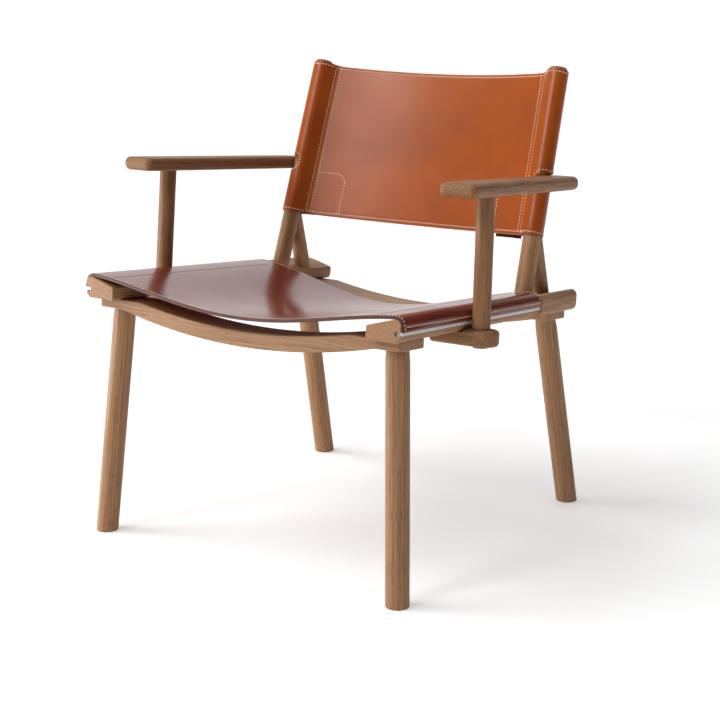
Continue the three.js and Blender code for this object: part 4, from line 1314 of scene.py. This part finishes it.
@dataclass
class SeatSling(Sling):
    """Seat leather over both rails, its stitches, and the strip and rod that hold each hem."""

    joinery: Joinery
    underframe: Underframe
    sag: float = 32.0
    rear_sag: float = 14.7
    slack: float = 1.2
    lift: float = 3.5
    standoff: float = 2.0
    standoff_until: float = 0.75
    hem_depth: float = 13.0
    hem_layer: float = 1.8
    hem_end: float = 2.0
    hem_stitch: float = 6.0
    edge_stitch: float = 3.0
    rear_stitch: float = 4.5
    seam_inset: float = 18.5
    row_gap: float = 4.0
    end_gap: float = 2.0
    stitch_dip: float = 0.3
    ripple: float = 0.15
    ripple_across: float = 95.0
    ripple_along: float = 120.0
    cut_edge: float = 0.9
    strip_lip: float = 1.8
    strip_edge: float = 0.9
    strip_setback: float = 2.0
    rod_radius: float = 2.0
    rod_edge: float = 0.8
    rod_sides: int = 24

    def __post_init__(self) -> None:
        """Work out the middle line from the chair's middle to the hem."""
        stance = self.joinery.stance
        nose = self.underframe.nose_radius
        up = stance.rail_outer_height - nose / math.tan((math.pi / 2 - stance.rail_slope) / 2)
        radius = nose + self.slack + stance.fit + stance.seat_leather / 2
        centre = stance.rail_spacing / 2 + stance.half_rail - nose - self.slack
        lift = math.radians(self.lift)
        edge = centre - radius * math.sin(lift)
        lowest = up + radius - self.sag
        rise = self.sag - radius * (1 - math.cos(lift))
        fourth = edge * math.tan(lift) / 2 - rise
        x = np.linspace(0.0, edge, 400)
        free = lowest + (rise - fourth) * (x / edge) ** 2 + fourth * (x / edge) ** 4
        angles = np.linspace(math.pi / 2 + lift, 0.0, 80)[1:]
        hem = self.underframe.groove_height + self.underframe.slot_height / 2
        drop = np.linspace(up, hem, 12)[1:]
        self.xs = np.concatenate((x, centre + radius * np.cos(angles), np.full(len(drop), centre + radius)))
        self.depths = np.concatenate((free, up + radius * np.sin(angles), drop))
        self.run = lengths(self.xs, self.depths)
        self.thickness = stance.seat_leather
        self.nose_half = centre + self.slack
        self.nose_up, self.hem_up = up, hem
        self.span_half = stance.rail_spacing / 2 - stance.half_rail
        self.seam = float(np.interp(stance.rail_spacing / 2 - self.seam_inset, self.xs, self.run))
        self.hem_s = self.half_width - self.hem_stitch
        self.front_t = stance.leather_front + self.edge_stitch
        self.rear_t = stance.leather_rear - self.rear_stitch

    def middle(self, s: float, t: float) -> Vector:
        """Place of a flat point on the leather's smooth middle layer, in seat coordinates.

        Args:
            s: Place across the flat leather.
            t: Place along it.

        Returns:
            The place.
        """
        stance = self.joinery.stance
        x, up = self.section(s)
        share = clamp(x / self.span_half, -1.0)
        across = clamp(x / self.nose_half, -1.0)
        behind = t - stance.leather_front
        back = math.sin(math.pi / 2 * behind / stance.leather_depth)
        low = self.rear_sag * back * math.cos(math.pi / 2 * across) ** 2
        wave = noise.noise(Vector((s / self.ripple_across, t / self.ripple_along, 3.7)))
        ripple = self.ripple * (1 - across ** 4) * wave
        hanging = (self.nose_up - up) / (self.nose_up - self.hem_up) if abs(x) > self.nose_half else 0.0
        ahead = smooth(behind / (self.standoff_until * stance.arm_post_place - stance.leather_front))
        loose = self.standoff * max(0.0, hanging) * (1 - ahead)
        return Vector((x + share * (loose - t * math.tan(math.radians(stance.rail_toe))), t, up - low + ripple))

    def rows(self, s: float, t: float) -> list[float]:
        """Distances of a flat point from the hems, the seams and the front and rear rows."""
        return [abs(s) - self.hem_s, abs(s) - self.seam, t - self.front_t, t - self.rear_t]

    def folded(self, _: float, t: float) -> float:
        """Thickness that the folded hem adds under the front edge at a flat point."""
        inside = (t - self.joinery.stance.leather_front - self.hem_depth) / self.hem_end
        return self.hem_layer * clamp(-inside)

    def leather(self) -> Piece:
        """Make the leather itself.

        Returns:
            The piece.
        """
        stance, finishes = self.joinery.stance, self.joinery.finishes
        marks = [side.value * place for side in Side for place in (self.seam, self.hem_s)]
        across = spread(-self.half_width, self.half_width, 4.0, marks)
        along = spread(stance.leather_front, stance.leather_rear, 6.0,
                       [self.front_t, stance.leather_front + self.hem_depth, self.rear_t])
        piece = hide("leather_seat", across, along, self.surface, self.thickness, stance.seat(), finishes.seat,
                     finishes.seat_edge, self.folded)
        soften(piece, self.cut_edge)
        return piece

    def stitching(self) -> list[Piece]:
        """Make the stitches: hems, front and rear edges in pale thread, the side seams in brown.

        Returns:
            The pieces.
        """
        finishes, place = self.joinery.finishes, self.joinery.stance.seat()
        front, rear, gap = self.front_t, self.rear_t, self.row_gap
        end, hem = self.half_width - self.end_gap, self.hem_s
        pale = Sewing()
        pale.sew(self.line([(-end, front), (end, front)]))
        for side in Side:
            pale.sew(self.line([(side.value * hem, front + gap), (side.value * hem, rear)]))
        pale.sew(self.line([(-hem + gap, rear), (hem - gap, rear)]))
        brown = Sewing(stitch=3.2, radius=0.6)
        for side in Side:
            seam = side.value * self.seam
            brown.sew(self.line([(seam, front + gap), (seam, rear - 0.75 * gap)]))
        return [pale.finish("seat_edge_stitches", place, finishes.pale_thread),
                brown.finish("seat_seam_stitches", place, finishes.dark_thread)]

    def rod_axis(self, side: Side) -> Axis:
        """Line of the rod in a rail's groove.

        Args:
            side: Side of the chair.

        Returns:
            The line.
        """
        stance = self.joinery.stance
        middle = stance.half_rail - self.underframe.groove_depth
        origin = stance.on_rail(side, middle, 0.0, self.underframe.groove_height)
        return Axis(origin, stance.rail(side).to_3x3() @ Vector((0.0, 1.0, 0.0)))

    def strip(self, side: Side) -> None:
        """Make the strip in a rail's groove: a bead round the rod and a lip under the hem.

        Args:
            side: Side of the chair.
        """
        stance = self.joinery.stance
        face = stance.half_rail + self.strip_lip
        bm = self.underframe.keyhole(side, -stance.fit, face, self.strip_setback, stance.leather_rear)
        lip = [e for e in sharp_edges(bm) if all(abs(abs(v.co.x) - face) < 1e-4 for v in e.verts)]
        ease(bm, lip, self.strip_edge, 3)
        strip = place_object(f"vinyl_groove_strip_{side.tag}", bm, stance.seat() @ stance.rail(side))
        tool = self.joinery.rod(self.rod_axis(side), self.rod_radius + stance.fit, -PAST / 2, 30 * PAST,
                                self.rod_sides)
        cut(strip, tool, Cut.AWAY)
        self.fit_in_groove(strip, self.joinery.finishes.strip, "strip")

    def rod(self, side: Side) -> None:
        """Make the steel rod in the strip's bead, with a rounded tip.

        Args:
            side: Side of the chair.
        """
        stance = self.joinery.stance
        start = self.strip_setback - 1.0
        bm = turned_rod(self.rod_radius, start, stance.leather_rear, self.rod_sides)
        ease(bm, [e for e in sharp_edges(bm) if e.verts[0].co.z < start + 1.0], self.rod_edge, 3)
        rod = place_object(f"steel_groove_rod_{side.tag}", bm, stance.seat() @ self.rod_axis(side).lathe())
        self.fit_in_groove(rod, self.joinery.finishes.steel, "steel")

    def fit_in_groove(self, piece: Piece, finish: Material, slot: str) -> None:
        """Shade a piece of the groove and put it in its node's place.

        Args:
            piece: Closed mesh.
            finish: Its material.
            slot: Not used.
        """
        shade(piece)
        piece.data.materials.clear()
        piece.data.materials.append(finish)
        stand_in(piece)

    def build(self) -> None:
        leather = self.leather()
        stitches = self.stitching()
        for side in Side:
            self.strip(side)
            self.rod(side)
        stand_in(leather, "seat_sling")


@dataclass
class BackSling(Sling):
    """Back leather with a sleeve round each post, its stitches and the patches behind its lower corners."""

    joinery: Joinery
    arms: Arms
    thickness: float = 2.7
    height: float = 261.0
    bow: float = 28.0
    setback: float = 9.0
    top_step: float = 2.0
    foot_rise: float = 3.0
    seam_offset: float = 25.5
    hem_offset: float = 38.0
    hem_gap: float = 0.25
    outer_row: float = 23.6
    inner_row: float = 31.0
    top_row: float = 4.0
    foot_row: float = 5.7
    sleeve_row: float = 4.0
    row_bend: float = 4.0
    end_gap: float = 2.0
    cutout_radius: float = 13.0
    cutout_out: float = 9.0
    cutout_row: float = 2.6
    patch_width: float = 49.0
    patch_inset: float = 28.0
    patch_height: float = 78.0
    patch_shows_left: float = -1.0
    patch_shows_right: float = 4.5
    patch_radius: float = 22.0
    patch_row: float = 4.5
    patch_thinner: float = 0.4
    patch_edge: float = 0.4
    patch_gap: float = 0.3
    patch_lap: float = 4.0
    patch_ramp: float = 3.5
    cut_edge: float = 0.5
    stitch_dip: float = 0.35

    def __post_init__(self) -> None:
        """Work out the section from the middle of the panel, round a sleeve to the hem behind it."""
        stance = self.joinery.stance
        post = stance.post(Side.RIGHT)
        foot = post.at(stance.back_foot)
        rise = Vector((0.0, post.direction.y, post.direction.z))
        self.closing = -post.direction.x / rise.length
        rise.normalize()
        behind = Vector((0.0, rise.z, -rise.y))
        axes = Matrix((Vector((1.0, 0.0, 0.0)), behind, rise)).transposed().to_4x4()
        self.place = stance.seat() @ Matrix.Translation((0.0, foot.y, foot.z)) @ axes
        self.post_span = foot.x
        self.panel_edge = foot.x - self.seam_offset
        half = self.thickness / 2
        radius = stance.post_radius + stance.fit + half
        front = Vector((-self.seam_offset, self.setback - half))
        rear = Vector((-self.seam_offset, self.setback + half))
        start = math.atan2(front.y, front.x) + math.acos(radius / front.length)
        end = math.atan2(rear.y, rear.x) - math.acos(radius / rear.length) + 2 * math.pi
        x = np.linspace(0.0, self.panel_edge, 240)
        angles = np.linspace(start, end, 90)
        hem = foot.x + np.linspace(-self.seam_offset, -self.hem_offset, 14)
        bows = [self.bow * np.array([self.belly(v) for v in values]) for values in (x, hem)]
        xs = np.concatenate((x, foot.x + radius * np.cos(angles), hem))
        depths = np.concatenate((front.y + bows[0], radius * np.sin(angles), rear.y + self.hem_gap + bows[1]))
        run = lengths(xs, depths)
        even = np.arange(0.0, run[-1], 0.5)
        beside = 4  # points on each side that a point is averaged with, which softens the section's corners
        softened = []
        for values, mirror in ((xs, -1), (depths, 1)):
            flat = np.interp(even, run, values)
            ends = np.concatenate((mirror * flat[beside:0:-1], flat, 2 * flat[-1] - flat[-2:-beside - 2:-1]))
            softened.append(np.convolve(ends, np.ones(2 * beside + 1) / (2 * beside + 1), "valid"))
        self.xs, self.depths = softened
        self.run = lengths(self.xs, self.depths)
        self.outer_s, self.inner_s = self.flat_at(self.outer_row), self.flat_at(self.inner_row)

    def belly(self, x: float) -> float:
        """Share of the panel's bow at a place across it."""
        return 1 - min(1.0, abs(x) / self.panel_edge) ** 2

    def flat_at(self, offset: float) -> float:
        """Flat place on the panel at a distance inwards from the post's axis."""
        count = int(np.argmax(self.xs))
        return float(np.interp(self.post_span - offset, self.xs[:count], self.run[:count]))

    def middle(self, s: float, t: float) -> Vector:
        """Place of a flat point on the leather's smooth middle layer, in back coordinates.

        Args:
            s: Place across the flat leather.
            t: Place along it.

        Returns:
            The place.
        """
        x, behind = self.section(s)
        radius = self.joinery.stance.post_radius
        share = clamp(x / (self.post_span - self.hem_offset), -1.0)
        step = self.top_step * smooth((self.post_span - abs(x) - radius) / (self.hem_offset - radius))
        up = t / self.height
        drop = up * step - (1 - up) * self.foot_rise * self.belly(x)
        return Vector((x - share * self.closing * t, behind, t - drop))

    def rows(self, s: float, t: float) -> list[float]:
        """Distances of a flat point from the seams and the foot and top rows."""
        top = self.height - (self.top_row if abs(s) < self.outer_s else self.sleeve_row)
        return [abs(s) - self.outer_s, abs(s) - self.inner_s, t - self.foot_row, t - top]

    def arm_axis(self, side: Side) -> Axis:
        """Line outwards through a post at the armrest's height.

        Args:
            side: Side of the chair.

        Returns:
            The line.
        """
        stance = self.joinery.stance
        lie, _ = self.arms.arm_frame(side)
        outward = lie.to_3x3() @ Vector((side.value, 0.0, 0.0))
        return Axis(stance.post(side).at_height(stance.arm_height + stance.arm_rise), outward)

    def cutout(self, side: Side) -> Axis:
        """Line beside a post along which its sleeve is cut out for the armrest."""
        along = (self.arms.arm_frame(side)[0].to_3x3() @ Vector((0.0, 1.0, 0.0))).normalized()
        return Axis(self.arm_axis(side).at(self.cutout_out), along)

    def leather(self) -> Piece:
        """Make the leather itself, with a cut-out in each sleeve.

        Returns:
            The piece.
        """
        finishes = self.joinery.finishes
        marks = [side.value * place for side in Side for place in (self.outer_s, self.inner_s)]
        across = spread(-self.half_width, self.half_width, 3.0, marks)
        along = spread(0.0, self.height, 6.0, [self.foot_row, self.height - self.top_row])
        piece = hide("leather_back", across, along, self.surface, self.thickness, self.place, finishes.back,
                     finishes.back_edge)
        for side in Side:
            cut(piece, self.joinery.rod(self.cutout(side), self.cutout_radius, -2 * PAST, 2 * PAST, 48), Cut.AWAY)
        soften(piece, self.cut_edge)
        return piece

    def patch_surface(self, s: float, t: float, off: float) -> Vector:
        """Place of a flat point of a patch, which lies against the panel's rear face and over the sleeve's hem.

        Args:
            s: Place across the flat back.
            t: Place along it.
            off: Distance in front of the patch's middle layer.

        Returns:
            The place.
        """
        over = smooth((abs(s) - self.flat_at(self.hem_offset + self.patch_lap)) / self.patch_ramp)
        gap = (self.thickness + self.patch_gap) * (1 + over)
        return self.middle(s, t) + (off - gap) * self.normal(s, t)

    def patch_shows(self, side: Side) -> float:
        """How far a patch shows below the panel: the left one ends just above its edge."""
        return self.patch_shows_left if side is Side.LEFT else self.patch_shows_right

    def patch(self, side: Side) -> None:
        """Make the patch behind a lower corner of the panel, with one rounded corner.

        Args:
            side: Side of the chair.
        """
        finishes = self.joinery.finishes
        inset = self.patch_inset if side is Side.RIGHT else self.hem_offset
        outer, inner = self.flat_at(inset + self.patch_edge), self.flat_at(inset + self.patch_width)
        shows = self.patch_shows(side)
        top = self.patch_height - shows
        radius = self.patch_radius

        def rounded(s: float, t: float, off: float) -> Vector:
            """Place of a flat point, its row drawn in round the corner.

            Args:
                s: Place across the flat back.
                t: Place along it.
                off: Distance in front of the patch's middle layer.

            Returns:
                The place.
            """
            over = max(0.0, t - top + radius)
            start = inner + radius - math.sqrt(max(0.0, radius ** 2 - over ** 2))
            held = start + (abs(s) - inner) * (outer - start) / (outer - inner)
            return self.patch_surface(side.value * held, t, off)

        across = spread(inner, outer, 3.0)[::side.value]
        along = spread(-shows, top, 4.0, [top], radius, 1.0)
        piece = hide(f"leather_corner_patch_{side.tag}", across, along, rounded, self.thickness - self.patch_thinner,
                     self.place, finishes.patch, finishes.back_edge)
        soften(piece, self.patch_edge)
        stand_in(piece)

    def cutout_line(self, side: Side) -> Line:
        """Lay the stitches round a sleeve's cut-out, over the armrest and back under it.

        Args:
            side: Side of the chair.

        Returns:
            Close points with normals.
        """
        stance = self.joinery.stance
        to_back = self.place.inverted() @ stance.seat()
        axis = self.arm_axis(side)
        origin, outward = to_back @ axis.origin, (to_back.to_3x3() @ axis.direction).normalized()
        behind = outward.cross(UP).normalized() * -side.value
        ring = self.cutout_radius + self.cutout_row
        limit = stance.post_radius + stance.fit + self.thickness
        reach = math.acos((self.cutout_out - ring) / limit)
        found = []
        for sign in (1.0, -1.0):
            for angle in np.linspace(-reach, reach, 120) * sign:
                short = min(0.0, limit * math.cos(angle) - self.cutout_out)
                height = math.sqrt(max(0.0, ring ** 2 - short ** 2))
                normal = math.cos(angle) * outward + math.sin(angle) * behind
                found.append((origin + limit * normal + sign * height * UP, normal))
        return found

    def stitching(self) -> Piece:
        """Make the stitches of the panel, the sleeves, the patches and the cut-outs.

        Returns:
            The piece.
        """
        sewing = Sewing()
        top, foot, bend = self.height - self.top_row, self.foot_row, self.row_bend
        outer, inner, end = self.outer_s, self.inner_s, self.half_width - self.end_gap
        rows = [[(-outer + bend, top), (outer - bend, top)], [(-outer, foot), (outer, foot)]]
        tab = self.flat_at(self.hem_offset + self.patch_width - self.patch_row)
        bow = self.patch_radius - self.patch_row
        for row in rows:
            sewing.sew(self.line(row))
        for side in Side:
            tab_top = self.patch_height - self.patch_shows(side) - self.patch_row
            corner = [(tab + bow * (1 - math.sin(a)), tab_top - bow * (1 - math.cos(a)))
                      for a in np.linspace(0.0, math.pi / 2, 12)]
            rows = [[(place, foot), (place, top - bend), (place - bend / 4, top - bend / 3), (place - bend, top)]
                    for place in (outer, inner)]
            rows += [[(outer + self.end_gap, height), (end, height)]
                     for height in (self.sleeve_row, self.height - self.sleeve_row)]
            rows.append([(inner, tab_top), *corner, (tab, foot)])
            for row in rows:
                sewing.sew(self.line([(side.value * s, t) for s, t in row]))
            sewing.sew(self.cutout_line(side))
        return sewing.finish("back_stitches", self.place, self.joinery.finishes.pale_thread)

    def build(self) -> None:
        leather = self.leather()
        stitches = self.stitching()
        stand_in(leather, "back_sling")
        for side in Side:
            self.patch(side)


@dataclass
class Fasteners:
    """Screws and dowels, kept as the frame has them and given their finishes."""

    finishes: Finishes

    def build(self) -> None:
        """Dress every screw in steel and every dowel in oak."""
        for name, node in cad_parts.items():
            if "screw" in name or "dowel" in name:
                node.data.materials.clear()
                node.data.materials.append(self.finishes.steel if "screw" in name else self.finishes.dowel_oak)
                log.info("%s: dressed", name)


@dataclass
class Studio:
    """Pale floor, soft light and the photograph's camera."""

    camera_place: tuple[float, float, float] = (1.3718, -1.9276, 0.8213)
    camera_pitch: float = 76.73
    camera_turn: float = 35.03
    lens: float = 77.09
    shift: float = -0.0049
    floor_half: float = 400.0
    floor_drop: float = 0.0002
    floor_light: str = "#E0E0E0"
    floor_dark: str = "#DEDEDE"
    floor_glow: float = 0.36
    sun_from: tuple[float, float, float] = (-0.6, -0.3, 0.74)
    sun_strength: float = 1.5
    sun_angle: float = 30.0
    softbox_place: tuple[float, float, float] = (-1.8, -1.05, 0.15)
    softbox_aim: tuple[float, float, float] = (0.0, 0.0, 0.3)
    softbox_size: float = 0.8
    softbox_power: float = 32.0
    surround: float = 0.02
    # Bright parts of the surround: the way to each, where it starts and is full, and its strength.
    panels: tuple[tuple[tuple[float, float, float], float, float, float], ...] = (
        ((-0.574, 0.819, 0.0), 0.55, 0.92, 1.15),
        ((0.0, 0.0, 1.0), 0.3, 0.95, 0.55),
        ((-0.24, -0.76, 0.6), 0.968, 0.996, 11.0),
    )

    def camera(self) -> None:
        """Set up the camera at the photograph's angle."""
        data = bpy.data.cameras.new("camera")
        data.lens = self.lens
        data.shift_y = self.shift
        camera = bpy.data.objects.new("camera", data)
        camera.location = self.camera_place
        camera.rotation_euler = (math.radians(self.camera_pitch), 0.0, math.radians(self.camera_turn))
        bpy.context.scene.collection.objects.link(camera)
        bpy.context.scene.camera = camera

    def floor(self) -> None:
        """Lay a matt white floor that glows a little, so that its shadows stay pale."""
        bm = bmesh.new()
        bmesh.ops.create_grid(bm, x_segments=4, y_segments=4, size=self.floor_half)
        floor = place_object("floor", bm, Matrix.Translation((0.0, 0.0, -self.floor_drop)))
        material, tree, shader = blank_material("matt_white_floor")
        place = add_node(tree, "TexCoord", output="Object")
        tone = add_node(tree, "TexNoise", {"Vector": place, "Scale": 1.5, "Detail": 1.0})
        pale = add_node(tree, "Mix", {0: tone, 6: linear(self.floor_light), 7: linear(self.floor_dark)}, 2,
                        data_type="RGBA")
        set_inputs(tree, shader, {"Base Color": pale, "Roughness": 0.9, "Specular IOR Level": 0.1,
                                  "Emission Color": (1.0, 1.0, 1.0, 1.0), "Emission Strength": self.floor_glow})
        floor.data.materials.append(material)

    def light(self) -> None:
        """Light the scene by a high window and a low softbox, both to the left, in a dim surround with panels."""
        world = bpy.data.worlds.new("studio_surround")
        world.use_nodes = True
        tree = world.node_tree
        towards = add_node(tree, "TexCoord", output="Generated")
        total: Any = self.surround
        for way, start, full, strength in self.panels:
            facing = add_node(tree, "VectorMath", {0: towards, 1: way}, "Value", operation="DOT_PRODUCT")
            share = add_node(tree, "MapRange", {"Value": facing, "From Min": start, "From Max": full,
                                                "To Max": strength}, interpolation_type="SMOOTHSTEP")
            total = add_node(tree, "Math", {0: share, 1: total}, operation="ADD")
        set_inputs(tree, tree.nodes["Background"], {"Strength": total, "Color": (1.0, 1.0, 1.0, 1.0)})
        scene = bpy.context.scene
        scene.world = world
        scene.view_settings.view_transform = "Standard"
        window = bpy.data.lights.new("window", "SUN")
        window.energy = self.sun_strength
        window.angle = math.radians(self.sun_angle)
        softbox = bpy.data.lights.new("softbox", "AREA")
        softbox.energy = self.softbox_power
        softbox.size = self.softbox_size
        place = Vector(self.softbox_place)
        for data, spot, ray in ((window, Vector(), -Vector(self.sun_from)),
                                (softbox, place, Vector(self.softbox_aim) - place)):
            lamp = bpy.data.objects.new(data.name, data)
            lamp.location = spot
            lamp.rotation_euler = ray.to_track_quat("-Z", "Y").to_euler()
            scene.collection.objects.link(lamp)

    def build(self) -> None:
        """Set up camera, floor and light."""
        self.camera()
        self.floor()
        self.light()


def main() -> None:
    """Build the chair around the frame."""
    logging.basicConfig(level=logging.INFO, format="%(message)s")
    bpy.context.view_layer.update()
    Studio().build()
    finishes = Finishes.make()
    joinery = Joinery(Stance(), finishes, random.Random(11))
    underframe = Underframe(joinery)
    underframe.build()
    BackFrame(joinery).build()
    arms = Arms(joinery)
    arms.build()
    SeatSling(joinery, underframe).build()
    BackSling(joinery, arms).build()
    Fasteners(finishes).build()


if __name__ == "__main__":
    main()
